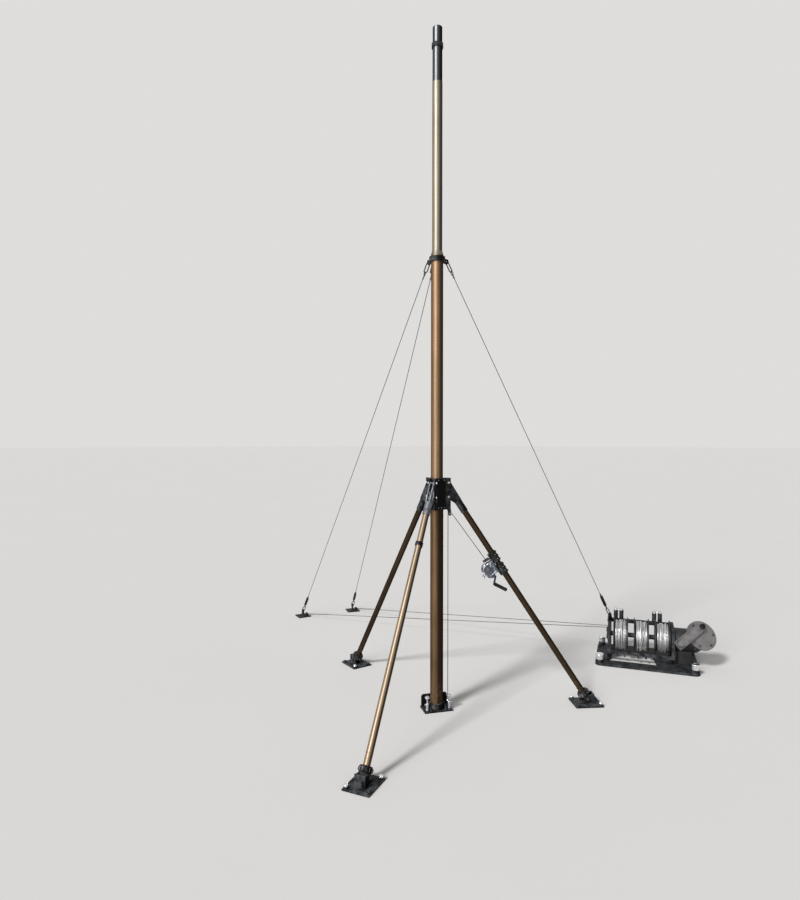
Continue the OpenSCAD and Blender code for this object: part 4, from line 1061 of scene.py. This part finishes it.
def loose_rope():
    """A slack turn of the middle drum's rope, which leans over its winding."""
    turn = hoop(WINDING_R + 0.0128, ROPE_R, 10, 56)
    drum = on_winch() @ moved(DRUM_X[1] + 0.012, 0, DRUM_Z) @ turned(90, "Y")
    lay = drum @ turned(70) @ turned(9, "X")
    piece("loose_rope", copies(turn, [lay]), rope_bright[DRUM_X[1]], "cable_steel", crease=60)


def disc_screws():
    """Recessed screws round the face of the crank's disc."""
    screw = turned_part([(0.0078, 0), (0.0084, 0.0008), (0.0084, 0.0040), (0.0072, 0.0050),
                         (0.0042, 0.0050), (0.0038, 0.0022)], 18)
    face = on_disc() @ moved(0, 0, DISC_T)
    places = [face @ turned(az) @ moved(0.084, 0, 0) for az in (30, 90, 150, 210, 270, 330)]
    piece("disc_screws", copies(screw, places), grey_screw, "gear_grey")


def crank_lips():
    """Folded lips along the stay winch's crank arm and across its end, and its shaft nut."""
    crank = on_stay_crank()
    start, edge = 0.112, STAY_ARM_W / 2 - 0.0026
    lip = block((STAY_ARM_END - start, 0.0050, 0.0130), 0.0012)
    parts = copies(lip, [crank @ moved((start + STAY_ARM_END) / 2, s * edge, 0.0212) for s in (-1, 1)])
    fold = block((0.0050, STAY_ARM_W, 0.0080), 0.0012)
    parts += copies(fold, [crank @ moved(STAY_ARM_END - 0.0026, 0, 0.0008)])
    piece("crank_lips", parts, grey_lips, "gear_grey", "stay_crank")
    nut = hex_nut(0.040, 0.016, 0.009, 0.007)
    parts = copies(nut, [crank @ moved(0, 0, 0.0350)])
    piece("crank_nut", parts, strong_black, "black_paint", "stay_crank")


def gearbox_bolts():
    """Bolt heads round the gearbox's case."""
    case = on_winch() @ moved(0.318, 0, DRUM_Z) @ turned(90, "Y")
    bolts = [case @ turned(az) @ moved(0.070, 0, 0) for az in range(0, 360, 60)]
    parts = copies(hex_nut(0.0170, 0.0060, 0.0042, 0.0025), bolts)
    piece("gearbox_bolts", parts, zinc, "zinc")


def cheek_bearing():
    """Round bearing housing with four bolts, where the axle passes the left cheek."""
    wall = on_winch() @ moved(-0.264, 0, DRUM_Z) @ turned(-90, "Y")
    ring = turned_part([(0.044, 0), (0.046, 0.002), (0.046, 0.0075), (0.043, 0.0085), (0.024, 0.0085)], 40)
    parts = copies(ring, [wall])
    bolt = hex_nut(0.0130, 0.0045, 0.003, 0.001)
    parts += copies(bolt, [wall @ turned(45 + 90 * n) @ moved(0.036, 0, 0.0080) for n in range(4)])
    piece("cheek_bearing", parts, strong_black, "black_paint")


# Pieces, one after another
ground_pegs()
leg_nuts()
socket_ribs()
hole_rims()
leg_bands()
spindle_heads()
cable_foot()
hub_screws()
lock_pin()
winch_ratchet()
winch_details()
winch_shadow_plate()
winch_guard()
winch_turns()
grip_sleeve()
clamp_screws()
rope_eyes()
corner_pegs()
roller_caps()
rope_turns()
loose_rope()
disc_screws()
crank_lips()
gearbox_bolts()
cheek_bearing()
